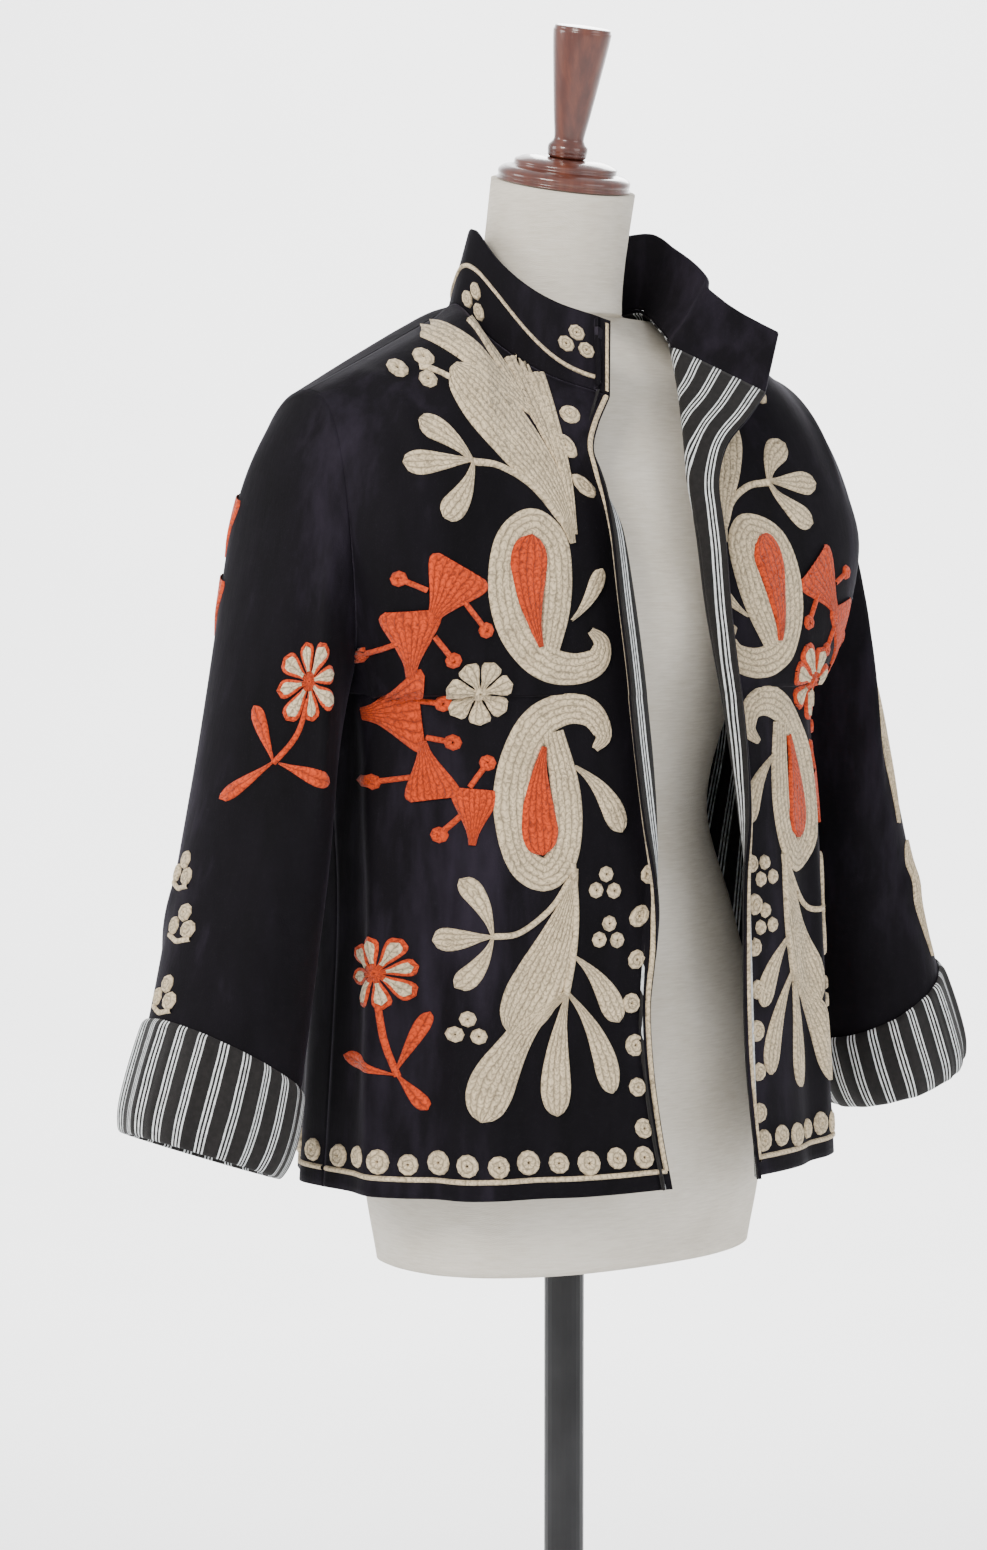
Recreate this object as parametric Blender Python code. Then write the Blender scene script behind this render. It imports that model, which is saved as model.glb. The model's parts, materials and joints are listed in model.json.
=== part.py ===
"""A boxy open jacket with a stand collar, drop shoulders and turned-back cuffs.

It stands on a limbless dress form with a turned neck cap and a stand.

Units are metres, Z is up, the front faces -Y and the wearer's right is -X.
Each cloth piece is a wall: a grid of points on its outside, and the same grid set inwards by its thickness.
"""

import math

import bmesh
import bpy
import numpy as np

COLLECTION = "jacket_on_form"

# Cloth
VELVET = 0.0020
LINING = 0.0010
COLLAR_CLOTH = 0.0032
CUFF_CLOTH = 0.0030
GAP = 0.0003
SEAM_TRIM = 0.00015
COLLAR_TRIM = 0.0010
SLEEVE_TRIM = 0.0006
LINING_SHORT = 0.20
MITRE_LEAST = 0.4

# Heights
HEM_Z = 0.722
ARM_TOP_Z = 1.290
ARM_LOW_Z = 1.070

# Shoulder line and neck
RIDGE_Y = 0.018
NECK_X = 0.085
NECK_Z = 1.354
SHOULDER_ARCH = -0.001
ARM_TOP_X = 0.218
ARM_LOW_X = 0.198
ARM_BULGE = 0.017
ARM_FRONT = 0.070
ARM_BACK = 0.060
BACK_NECK_Y = 0.083
BACK_NECK_Z = 1.343

# Grid sizes
DOME_ROWS = 6
MID_ROWS = 4
LOW_ROWS = 8
STRIP_COLS = 4
NECK_COLS = 4
SEAM_COLS = 6
COLLAR_ROWS = 3
COLLAR_SMOOTHING = 4
SLEEVE_ROWS = 13
HALF_COLS = NECK_COLS + SEAM_COLS
ROLL_RADIUS = 0.0052
SIDES = ((-1, "right"), (1, "left"))
BACKWARD = np.array([0.0, 1.0, 0.0])

# Body sections below the chest: height, half width at the side seam, depth in front and behind, roundness
BODY = (
    # z, side, front, back, power
    (1.180, 0.225, 0.128, 0.121, 2.5),
    (1.070, 0.198, 0.136, 0.126, 2.5),
    (0.980, 0.200, 0.141, 0.130, 2.4),
    (0.860, 0.206, 0.147, 0.134, 2.3),
    (0.722, 0.216, 0.154, 0.139, 2.25),
)

# Front edges: height, roll line's distance from the middle, width of the strip past it, its turn and its drop
RIGHT_EDGE = (
    # z, roll_x, strip, turn, drop
    (1.290, 0.036, 0.012, 0.0, 0.004),
    (1.255, 0.067, 0.013, 25.0, 0.003),
    (1.225, 0.068, 0.018, 95.0, 0.001),
    (1.190, 0.057, 0.026, 150.0, 0.0),
    (1.075, 0.042, 0.029, 160.0, 0.0),
    (0.985, 0.037, 0.025, 155.0, 0.0),
    (0.920, 0.040, 0.017, 95.0, 0.0),
    (0.880, 0.046, 0.013, 15.0, 0.0),
    (0.800, 0.044, 0.012, 0.0, 0.0),
    (0.722, 0.032, 0.012, 5.0, 0.0),
)
LEFT_EDGE = (
    # z, roll_x, strip, turn, drop
    (1.322, 0.062, 0.074, 58.0, 0.034),
    (1.285, 0.047, 0.058, 85.0, 0.024),
    (1.250, 0.036, 0.038, 108.0, 0.012),
    (1.215, 0.029, 0.028, 122.0, 0.004),
    (1.140, 0.034, 0.023, 125.0, 0.0),
    (1.050, 0.050, 0.018, 112.0, 0.0),
    (0.990, 0.059, 0.016, 80.0, 0.0),
    (0.940, 0.065, 0.014, 30.0, 0.0),
    (0.820, 0.065, 0.013, 15.0, 0.0),
    (0.722, 0.067, 0.015, 45.0, 0.0),
)

# Sleeve rings: share of the length, outer line, inner line, middle in depth, half depth
SLEEVE = (
    # s, outer_x, outer_z, inner_x, inner_z, middle_y, depth
    (0.00, 0.218, 1.290, 0.198, 1.070, 0.018, 0.065),
    (0.14, 0.248, 1.236, 0.204, 1.036, 0.018, 0.068),
    (0.32, 0.274, 1.138, 0.213, 0.990, 0.014, 0.069),
    (0.56, 0.306, 1.006, 0.228, 0.913, 0.008, 0.067),
    (0.85, 0.350, 0.850, 0.250, 0.790, -0.001, 0.061),
    (1.00, 0.374, 0.778, 0.268, 0.738, -0.004, 0.060),
)
SLEEVE_END = 0.975

# Cuff, as a line around its section: share of the sleeve's length, distance from the sleeve's outside
CUFF = (
    # s, out
    (0.850, 0.0004),
    (0.848, 0.0030),
    (0.865, 0.0046),
    (0.920, 0.0060),
    (0.970, 0.0054),
    (1.000, 0.0022),
    (1.006, -0.0010),
    (0.998, -0.0036),
    (0.950, -0.0036),
    (0.950, -0.0024),
    (0.984, -0.0020),
    (0.987, 0.0000),
    (0.975, 0.0012),
    (0.910, 0.0010),
)

# Collar: share of its length from the right front edge, lean outwards, height
COLLAR = (
    # share, lean, height
    (0.00, -4.0, 0.054),
    (0.20, -11.0, 0.055),
    (0.36, -15.0, 0.057),
    (0.50, -4.0, 0.060),
    (0.62, 8.0, 0.060),
    (0.72, 15.0, 0.058),
    (0.84, 36.0, 0.055),
    (1.00, 30.0, 0.052),
)

# Soft folds of the fronts and back: place across from the middle, half width, depth, height where it ends
FRONT_FOLDS = (
    # across, width, depth, top_z
    (0.30, 0.07, -0.0035, 1.05),
    (0.46, 0.08, 0.0045, 1.16),
    (0.62, 0.07, -0.0045, 1.12),
    (0.78, 0.08, 0.0050, 1.20),
    (0.92, 0.05, -0.0035, 1.04),
)
FOLD_RISE = 0.22
BACK_FOLDS = (
    # across, width, depth, top_z
    (0.00, 0.10, 0.0040, 1.00),
    (0.28, 0.09, -0.0045, 1.10),
    (0.52, 0.09, 0.0050, 1.16),
    (0.74, 0.08, -0.0045, 1.12),
    (0.90, 0.06, 0.0035, 1.02),
)
# Sleeve folds: angle from the top line, share of the length, half angle, half length, depth
SLEEVE_FOLDS = (
    # angle, s, wide, long, depth
    (62.0, 0.22, 16.0, 0.20, -0.0050),
    (95.0, 0.30, 18.0, 0.22, 0.0040),
    (128.0, 0.34, 14.0, 0.16, -0.0045),
    (40.0, 0.62, 22.0, 0.16, -0.0030),
    (100.0, 0.70, 26.0, 0.12, -0.0035),
    (300.0, 0.26, 18.0, 0.22, -0.0050),
    (262.0, 0.40, 20.0, 0.22, 0.0040),
    (235.0, 0.66, 24.0, 0.14, -0.0035),
)

# Dress form below the neck: height, half width, half depth, middle in depth, roundness
FORM = (
    # z, width, depth, middle_y, power
    (0.655, 0.150, 0.100, 0.000, 2.3),
    (0.720, 0.160, 0.108, 0.000, 2.3),
    (0.800, 0.163, 0.110, 0.002, 2.25),
    (0.900, 0.140, 0.098, 0.003, 2.2),
    (0.985, 0.115, 0.086, 0.002, 2.15),
    (1.060, 0.130, 0.098, 0.000, 2.2),
    (1.130, 0.148, 0.112, -0.004, 2.25),
    (1.200, 0.166, 0.104, 0.004, 2.3),
)
FORM_SIDES = 24
SHOULDER_RINGS = (
    # half width, half depth, roundness
    (0.188, 0.062, 1.8),
    (0.165, 0.054, 1.5),
    (0.134, 0.049, 1.12),
    (0.092, 0.046, 0.94),
)
FORM_CLEAR = 0.0009

BASE_RADIUS = 0.1605
NECK_RADIUS = 0.0530
NECK_TILT = 12.0
NECK_TOP_Z = 1.442
NECK_CENTRE_Y = 0.012
NECK_RINGS = (
    # z, radius
    (1.3485, 0.0555),
    (1.362, 0.0540),
    (1.390, NECK_RADIUS),
    (NECK_TOP_Z, NECK_RADIUS),
)
LEAN_FROM_Z = 1.400

# Turned pieces, as radius and height above their own foot
CAP = (
    (0.0, 0.0),
    (0.0455, 0.0),
    (0.0485, 0.0035),
    (0.0488, 0.0075),
    (0.0450, 0.0105),
    (0.0385, 0.0125),
    (0.0370, 0.0165),
    (0.0250, 0.0200),
    (0.0, 0.0200),
)
FINIAL = (
    (0.0, 0.0),
    (0.0125, 0.0),
    (0.0145, 0.0040),
    (0.0145, 0.0085),
    (0.0118, 0.0120),
    (0.0112, 0.0160),
    (0.0135, 0.0310),
    (0.0180, 0.0630),
    (0.0212, 0.0880),
    (0.0208, 0.0930),
    (0.0180, 0.0955),
    (0.0, 0.0965),
)
BASE = (
    (0.0, 0.0),
    (BASE_RADIUS, 0.0),
    (BASE_RADIUS, 0.0080),
    (BASE_RADIUS - 0.006, 0.0120),
    (0.0400, 0.0170),
    (0.0280, 0.0201),
    (0.0, 0.0201),
)
POLE_FOOT = 0.0204
POLE = ((0.0, 0.0), (0.015, 0.0), (0.015, 0.6343), (0.0, 0.6343))
CAP_HEIGHT = 0.0203

COLOURS = {
    # name: (red, green, blue), roughness, metallic
    "velvet": ((0.018, 0.013, 0.020), 0.85, 0.0),
    "lining": ((0.050, 0.045, 0.050), 0.75, 0.0),
    "linen": ((0.74, 0.69, 0.60), 0.90, 0.0),
    "turned_wood": ((0.11, 0.022, 0.012), 0.22, 0.0),
    "stand_metal": ((0.03, 0.03, 0.03), 0.40, 0.7),
}


def between(table, key, column):
    """A column of a table at a key, along a smooth curve through its rows."""
    rows = sorted(table)
    keys = [row[0] for row in rows]
    values = [row[column] for row in rows]
    key = min(max(key, keys[0]), keys[-1])
    i = min(max(int(np.searchsorted(keys, key)) - 1, 0), len(keys) - 2)
    slopes = []
    for k in (i, i + 1):
        low = max(k - 1, 0)
        high = min(k + 1, len(keys) - 1)
        slopes.append((values[high] - values[low]) / (keys[high] - keys[low]))
    span = keys[i + 1] - keys[i]
    t = (key - keys[i]) / span
    ends = (2 * t**3 - 3 * t**2 + 1) * values[i] + (3 * t**2 - 2 * t**3) * values[i + 1]
    return ends + span * ((t**3 - 2 * t**2 + t) * slopes[0] + (t**3 - t**2) * slopes[1])


def smooth(low, high, value):
    t = min(max((value - low) / (high - low), 0.0), 1.0)
    return t * t * (3 - 2 * t)


def unit(vectors):
    return vectors / np.maximum(np.linalg.norm(vectors, axis=-1, keepdims=True), 1e-12)


def row_angles():
    """Angle on the armhole of each grid row down to the underarm, from 0 at the shoulder to 180."""
    dome = [90.0 * i / DOME_ROWS for i in range(DOME_ROWS)]
    mid = [90.0 + 90.0 * i / MID_ROWS for i in range(MID_ROWS + 1)]
    return dome + mid


def armhole(side, angle, back):
    """Point of the armhole; the angle is 0 at the shoulder and 180 under the arm."""
    a = math.radians(angle)
    down = (1 - math.cos(a)) / 2
    x = ARM_TOP_X + (ARM_LOW_X - ARM_TOP_X) * down + ARM_BULGE * math.sin(a) ** 2
    depth = ARM_BACK if back else -ARM_FRONT
    z = ARM_TOP_Z + (ARM_LOW_Z - ARM_TOP_Z) * down
    return np.array([side * x, RIDGE_Y + depth * math.sin(a) ** 0.9, z])


def bezier(a, b, c, t):
    return a * (1 - t) ** 2 + b * 2 * t * (1 - t) + c * t**2


def front_top(side, t):
    """Front neckline from the roll line to the neck point, t 0 to 1, then the shoulder seam, t 1 to 2."""
    neck = np.array([side * NECK_X, RIDGE_Y, NECK_Z])
    if t > 1:
        tip = armhole(side, 0.0, False)
        point = neck + (tip - neck) * (t - 1)
        point[2] += SHOULDER_ARCH * math.sin(math.pi * (t - 1))
        return point
    if side < 0:
        return bezier(np.array([-0.036, -0.082, 1.290]), np.array([-0.086, -0.052, 1.304]), neck, t)
    return bezier(np.array([0.062, -0.052, 1.322]), np.array([0.083, -0.022, 1.336]), neck, t)


def back_top(side, t):
    """Back neckline from the middle to the neck point, t 0 to 1, then the shoulder seam, t 1 to 2."""
    if t > 1:
        return front_top(side, t)
    middle = np.array([0.0, BACK_NECK_Y, BACK_NECK_Z])
    neck = np.array([side * NECK_X, RIDGE_Y, NECK_Z])
    return bezier(middle, np.array([side * 0.070, BACK_NECK_Y, BACK_NECK_Z + 0.001]), neck, t)


def section(side, z, psi, end, back):
    """Point of a body section: psi is 0 at the middle and 90 at the end point of the row."""
    power = 2 / between(BODY, z, 4)
    deep = between(BODY, z, 3 if back else 2) * (1 if back else -1)
    p = math.radians(min(max(psi, 0.0), 90.0))
    wide, near = math.sin(p) ** power, max(math.cos(p), 0.0) ** power
    return np.array([end[0] * wide, end[1] + (deep - end[1]) * near, z])


def psi_at(side, z, x, end):
    """The angle of a section at a distance from the middle."""
    power = 2 / between(BODY, z, 4)
    return math.degrees(math.asin(min(max(x / abs(end[0]), 0.0), 1.0) ** (1 / power)))


def row_end(side, row, back):
    """The end of a grid row at the armhole or the side seam."""
    angles = row_angles()
    if row < len(angles):
        return armhole(side, angles[row], back)
    z = ARM_LOW_Z + (HEM_Z - ARM_LOW_Z) * (row - len(angles) + 1) / LOW_ROWS
    return np.array([side * between(BODY, z, 1), RIDGE_Y * smooth(0.9, ARM_LOW_Z, z), z])


def folded(table, across, point):
    """Push a point in or out by the folds of its panel."""
    push = 0.0
    for place, width, depth, top in table:
        reach = 1 - smooth(top - FOLD_RISE, top, point[2])
        push += depth * reach * math.exp(-(((across - place) / width) ** 2))
    return point + unit(point * np.array([1.0, 1.0, 0.0])) * push


def panel(side, back, start):
    """Rows of a half panel, from its inner edge at start(height) to the armhole and the side seam."""
    rows = DOME_ROWS + MID_ROWS + LOW_ROWS
    share = [i / HALF_COLS for i in range(HALF_COLS + 1)]
    places = [i / NECK_COLS for i in range(NECK_COLS)] + [1 + i / SEAM_COLS for i in range(SEAM_COLS + 1)]
    grid = np.zeros((rows + 1, HALF_COLS + 1, 3))
    chest_end = row_end(side, DOME_ROWS, back)
    for j in range(rows + 1):
        end = row_end(side, j, back)
        for i in range(HALF_COLS + 1):
            z = max(end[2], HEM_Z) if j >= DOME_ROWS else chest_end[2]
            low_end = end if j >= DOME_ROWS else chest_end
            first = psi_at(side, z, start(z), low_end)
            point = section(side, z, first + (90 - first) * share[i], low_end, back)
            if j < DOME_ROWS:
                top = back_top(side, places[i]) if back else front_top(side, places[i])
                r = j / DOME_ROWS
                arc = np.array([r, math.sin(r * math.pi / 2), 1 - math.cos(r * math.pi / 2)])
                slant = np.array([r, 1 - (1 - r) ** 1.5, r])
                weight = 0.55 + 0.45 * smooth(0.0, 0.5, share[i]) if back else smooth(0.0, 0.55, share[i])
                point = top + (point - top) * (slant * (1 - weight) + arc * weight)
                if i == HALF_COLS:
                    point = end
                elif i == 0 and not back:
                    point[0] = side * start(point[2])
            grid[j, i] = point
    return grid


def eased_front(side, table):
    """A front half panel whose inner edge follows the roll line of its table."""
    grid = panel(side, False, lambda z: between(table, z, 1))
    for row in grid[1:DOME_ROWS]:
        gap = 2 * row[1, 0] - row[0, 0] - row[2, 0]
        for i in range(1, NECK_COLS + 2):
            row[i, 0] -= gap * (1 - i / (NECK_COLS + 2)) ** 1.5
    return grid


def with_strip(side, grid, table):
    """Add the columns past the roll line, turned outwards as the table says. The first column is the edge."""
    rows = grid.shape[0]
    strip = np.zeros((rows, STRIP_COLS, 3))
    down = np.gradient(grid[:, 0], axis=0)
    for j in range(rows):
        point = grid[j, 0]
        along = unit(grid[j, 0] - grid[j, 1])
        normal = unit(np.cross(down[j], along) * side)
        if normal[1] > 0:
            normal = -normal
        along = unit(along - normal * np.dot(along, normal))
        width, turn, drop = (between(table, point[2], k) for k in (2, 3, 4))
        turn = math.radians(max(turn, 0.0))
        for k in range(STRIP_COLS):
            reach = width * (k + 1) / STRIP_COLS
            arc = min(reach, ROLL_RADIUS * turn)
            angle = arc / ROLL_RADIUS
            place = point + ROLL_RADIUS * (math.sin(angle) * along + (1 - math.cos(angle)) * normal)
            place = place + (reach - arc) * (math.cos(angle) * along + math.sin(angle) * normal)
            place[2] = point[2] - drop * (k + 1) / STRIP_COLS
            strip[j, STRIP_COLS - 1 - k] = place
    return np.concatenate([strip, grid], axis=1)


def sleeve_point(side, s, angle):
    """Point of the sleeve's outside: angle 0 is its top line, 90 its front, 180 the underarm and 270 its back."""
    back = angle > 180
    fold = 360 - angle if back else angle
    a = math.radians(fold)
    values = [between(SLEEVE, s, k) for k in range(1, 7)]
    if s > 1:
        last, step = SLEEVE[-1], SLEEVE[-2]
        more = (s - last[0]) / (last[0] - step[0])
        values = [last[k] + (last[k] - step[k]) * more for k in range(1, 7)]
    outer_x, outer_z, inner_x, inner_z, middle_y, ring_depth = values
    outer = np.array([outer_x, middle_y, outer_z])
    inner = np.array([inner_x, middle_y, inner_z])
    past_head = smooth(0.0, 0.3, s)
    mouth = ARM_BACK if back else ARM_FRONT
    depth = mouth + (ring_depth - mouth) * past_head
    middle = (outer + inner) / 2
    point = middle + (outer - inner) / 2 * math.cos(a)
    point[1] += depth * math.sin(a) ** (0.9 + 0.1 * past_head) * (1 if back else -1)
    point[0] += ARM_BULGE * math.sin(a) ** 2 * (1 - smooth(0.0, 0.5, s))
    for place, along, wide, long, push in SLEEVE_FOLDS:
        near = math.exp(-(((angle - place) / wide) ** 2) - ((s - along) / long) ** 2) * smooth(0.0, 0.15, s)
        point += unit(point - middle) * push * near * (1 - smooth(0.80, 0.9, s))
    point[0] *= side
    return point


def sleeve_angles():
    half = row_angles()
    return half + [360 - a for a in reversed(half[1:-1])]


def sleeve_grid(side, shares):
    return np.array([[sleeve_point(side, s, a) for a in sleeve_angles()] for s in shares])


def grid_normals(grid, outward, around=False):
    """Unit normals of a grid of points, turned to point outward."""
    down = np.gradient(grid, axis=0)
    if around:
        across = np.roll(grid, -1, axis=1) - np.roll(grid, 1, axis=1)
    else:
        across = np.gradient(grid, axis=1)
    normals = unit(np.cross(down, across))
    middle = normals[grid.shape[0] // 2, grid.shape[1] // 2]
    return normals if np.dot(middle, outward) > 0 else -normals


def sleeve_normals(grid):
    """Unit normals of a sleeve, turned outwards on its front."""
    normals = grid_normals(grid, BACKWARD, True)
    return normals if normals[len(grid) // 2, DOME_ROWS, 1] < 0 else -normals


def shared(normals, edges):
    """Give the points of a seam the same direction, and each side of it its own mitre length."""
    total = unit(sum(normals[name][index] for name, index in edges))
    for name, index in edges:
        own = normals[name][index]
        cosine = np.clip(np.sum(own * total, axis=-1, keepdims=True), MITRE_LEAST, 1.0)
        normals[name][index] = total / cosine


def trimmed(grid, borders, amount=SEAM_TRIM):
    """Draw the named borders of a grid back from its seams, square to each seam."""
    grid = grid.copy()
    rows = {
        "top": (grid[0], grid[1].copy()),
        "first": (grid[:, 0], grid[:, 1].copy()),
        "last": (grid[:, -1], grid[:, -2].copy()),
    }
    for name in borders:
        border, inside = rows[name]
        along = unit(np.gradient(border, axis=0))
        inward = inside - border
        border += unit(inward - along * np.sum(inward * along, axis=-1, keepdims=True)) * amount
    return grid


def add_mesh(name, bm, material):
    bmesh.ops.recalc_face_normals(bm, faces=bm.faces)
    if bm.calc_volume(signed=True) < 0:
        bmesh.ops.reverse_faces(bm, faces=bm.faces)
    for face in bm.faces:
        face.smooth = True
    mesh = bpy.data.meshes.new(name)
    bm.to_mesh(mesh)
    bm.free()
    mesh.materials.append(bpy.data.materials[material])
    obj = bpy.data.objects.new(name, mesh)
    bpy.data.collections[COLLECTION].objects.link(obj)
    return obj


def add_wall(name, grid, normals, near, far, material, around=False):
    """A closed wall between two distances inwards from a grid of outside points."""
    bm = bmesh.new()
    layers = []
    for depth in (near, far):
        layers.append([[bm.verts.new(p) for p in row] for row in grid - normals * depth])
    outer, inner = layers
    rows, cols = grid.shape[:2]
    steps = cols if around else cols - 1
    for j in range(rows - 1):
        for i in range(steps):
            k = (i + 1) % cols
            bm.faces.new((outer[j][i], outer[j][k], outer[j + 1][k], outer[j + 1][i]))
            bm.faces.new((inner[j][i], inner[j + 1][i], inner[j + 1][k], inner[j][k]))
    for i in range(steps):
        k = (i + 1) % cols
        bm.faces.new((outer[0][i], inner[0][i], inner[0][k], outer[0][k]))
        bm.faces.new((outer[-1][i], outer[-1][k], inner[-1][k], inner[-1][i]))
    if not around:
        for j in range(rows - 1):
            bm.faces.new((outer[j][0], outer[j + 1][0], inner[j + 1][0], inner[j][0]))
            bm.faces.new((outer[j][-1], inner[j][-1], inner[j + 1][-1], outer[j + 1][-1]))
    return add_mesh(name, bm, material)


def add_loft(name, rings, material):
    """A solid through closed rings of points, capped at both ends."""
    bm = bmesh.new()
    loops = [[bm.verts.new(p) for p in ring] for ring in rings]
    for low, high in zip(loops, loops[1:]):
        for i in range(len(low)):
            k = (i + 1) % len(low)
            bm.faces.new((low[i], low[k], high[k], high[i]))
    bm.faces.new(loops[0])
    bm.faces.new(loops[-1])
    return add_mesh(name, bm, material)


def collar_grid(base):
    """Rows of the collar up from its seam, from the right front edge to the left one."""
    flat = base.copy()
    flat[:, 2] = 0
    along = unit(np.gradient(flat, axis=0))
    outward = np.stack([along[:, 1], -along[:, 0], 0 * along[:, 0]], axis=-1)
    if outward[len(base) // 2, 1] < 0:
        outward = -outward
    for _ in range(COLLAR_SMOOTHING):
        outward[1:-1] = unit(outward[:-2] + 2 * outward[1:-1] + outward[2:])
    length = np.concatenate([[0.0], np.cumsum(np.linalg.norm(np.diff(base, axis=0), axis=1))])
    rows = []
    for i, point in enumerate(base):
        share = length[i] / length[-1]
        lean = math.radians(between(COLLAR, share, 1))
        rise = math.sin(lean) * outward[i] + math.cos(lean) * np.array([0.0, 0.0, 1.0])
        rows.append([point + rise * between(COLLAR, share, 2) * j / COLLAR_ROWS for j in range(COLLAR_ROWS + 1)])
    return np.array(rows).swapaxes(0, 1)


def front_grid(side):
    edge = RIGHT_EDGE if side < 0 else LEFT_EDGE
    grid = with_strip(side, eased_front(side, edge), edge)
    for row in grid:
        for i in range(len(row) - 1):
            row[i] = folded(FRONT_FOLDS, max(i - STRIP_COLS, 0) / HALF_COLS, row[i])
    return grid


def back_grid():
    """The whole back, from the right armhole and side seam to the left ones."""
    right, left = (panel(side, True, lambda z: 0.0) for side in (-1, 1))
    grid = np.concatenate([right[:, ::-1], left[:, 1:]], axis=1)
    for row in grid:
        for i in range(1, len(row) - 1):
            row[i] = folded(BACK_FOLDS, abs(i - HALF_COLS) / HALF_COLS, row[i])
    return grid


def neckline(right, back, left):
    """The neck seam, from the right front edge round the back to the left front edge."""
    count = STRIP_COLS + NECK_COLS + 1
    middle = back[0, SEAM_COLS + 1 : SEAM_COLS + 2 * NECK_COLS]
    return np.concatenate([right[0, :count], middle, left[0, :count][::-1]])


def garment_grids():
    """The outside of each cloth piece that shares a seam."""
    grids = {"back": back_grid()}
    shares = [SLEEVE_END * (i / SLEEVE_ROWS) ** 0.9 for i in range(SLEEVE_ROWS + 1)]
    for side, name in SIDES:
        grids["front_" + name] = front_grid(side)
        grids["sleeve_" + name] = sleeve_grid(side, shares)
    grids["collar"] = collar_grid(neckline(grids["front_right"], grids["back"], grids["front_left"]))
    return grids


def outward_normals(grids):
    normals = {"back": grid_normals(grids["back"], BACKWARD), "collar": grid_normals(grids["collar"], BACKWARD)}
    for side, name in SIDES:
        normals["front_" + name] = grid_normals(grids["front_" + name], np.array([side * 0.4, -1.0, 0.2]))
        normals["sleeve_" + name] = sleeve_normals(grids["sleeve_" + name])
    return normals


def join_seams(normals):
    """Give both sides of each seam one direction at each of its points."""
    low = len(row_angles())
    last = 2 * HALF_COLS
    neck = STRIP_COLS + NECK_COLS
    around = normals["sleeve_right"].shape[1]
    collar_end = normals["collar"].shape[1] - 1
    for side, name in SIDES:
        front, sleeve = "front_" + name, "sleeve_" + name
        edge = 0 if side < 0 else last
        inward = 1 if side < 0 else -1
        for k in range(1, SEAM_COLS):
            shared(normals, [(front, (0, -1 - k)), ("back", (0, edge + k * inward))])
        for j in range(low, normals[front].shape[0]):
            shared(normals, [(front, (j, -1)), ("back", (j, edge))])
        for j in (0, low - 1):
            shared(normals, [(front, (j, -1)), ("back", (j, edge)), (sleeve, (0, j))])
        for j in range(1, low - 1):
            shared(normals, [(front, (j, -1)), (sleeve, (0, j))])
            shared(normals, [("back", (j, edge)), (sleeve, (0, around - j))])
        for k in range(neck):
            shared(normals, [(front, (0, k)), ("collar", (0, k if side < 0 else collar_end - k))])
        neck_point = (0, neck if side < 0 else collar_end - neck)
        shared(normals, [(front, (0, neck)), ("back", (0, edge + SEAM_COLS * inward)), ("collar", neck_point)])
    for k in range(1, 2 * NECK_COLS):
        shared(normals, [("back", (0, SEAM_COLS + k)), ("collar", (0, neck + k))])


def make_garment():
    grids = garment_grids()
    normals = outward_normals(grids)
    join_seams(normals)
    lining_near = VELVET + GAP
    lining_far = lining_near + LINING
    panels = (
        # name, borders with a seam, columns with an armhole
        ("front_right", ("top", "last"), (-1,)),
        ("front_left", ("top", "last"), (-1,)),
        ("back", ("top", "first", "last"), (0, -1)),
    )
    for name, borders, columns in panels:
        cloth = trimmed(grids[name], borders)
        add_wall(name, cloth, normals[name], 0.0, VELVET, "velvet")
        inside, facing = shortened(cloth, normals[name], columns)
        add_wall("lining_" + name, inside, facing, lining_near, lining_far, "lining")
    for side, name in SIDES:
        sleeve = trimmed(grids["sleeve_" + name], ("top",), SLEEVE_TRIM)
        add_wall("sleeve_" + name, sleeve, normals["sleeve_" + name], 0.0, VELVET, "velvet", True)
        add_cuff(side, "cuff_" + name)
    collar = trimmed(grids["collar"], ("top",), COLLAR_TRIM)
    add_wall("collar", collar, normals["collar"], 0.0, COLLAR_CLOTH, "velvet")


def shortened(grid, normals, columns):
    """The lining's own grid: it ends a little before the armhole under the arm."""
    grid, normals = grid.copy(), normals.copy()
    for column in columns:
        inside = -2 if column else 1
        for j in range(len(row_angles()) - 3, len(row_angles())):
            for values in (grid, normals):
                values[j, column] += (values[j, inside] - values[j, column]) * LINING_SHORT
    return grid, normals


def add_cuff(side, name):
    """The turned-back end of a sleeve: a band outside it, the fold below it and a short return inside it."""
    bm = bmesh.new()
    loops = []
    for s, out in CUFF:
        near = sleeve_grid(side, (s - 0.01, s, s + 0.01))
        loops.append([bm.verts.new(p) for p in near[1] + sleeve_normals(near)[1] * out])
    for n, low in enumerate(loops):
        high = loops[(n + 1) % len(loops)]
        for i in range(len(low)):
            k = (i + 1) % len(low)
            bm.faces.new((low[i], low[k], high[k], high[i]))
    add_mesh(name, bm, "lining")


def form_ring(z, width, depth, middle_y, power):
    """A level ring of the dress form."""
    ring = []
    for i in range(FORM_SIDES):
        a = 2 * math.pi * i / FORM_SIDES
        c, s = math.cos(a), math.sin(a)
        x = math.copysign(abs(s) ** (2 / power), s) * width
        y = -math.copysign(abs(c) ** (2 / power), c) * depth
        ring.append((x, middle_y + y, z))
    return ring


def shoulder_z(x):
    """Height of the lining's inside on the shoulder line."""
    t = (x - NECK_X) / (ARM_TOP_X - NECK_X)
    z = NECK_Z + (ARM_TOP_Z - NECK_Z) * t + SHOULDER_ARCH * math.sin(math.pi * max(t, 0.0))
    slope = math.atan((NECK_Z - ARM_TOP_Z) / (ARM_TOP_X - NECK_X))
    return z - (VELVET + GAP + LINING + FORM_CLEAR) / math.cos(slope)


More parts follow.
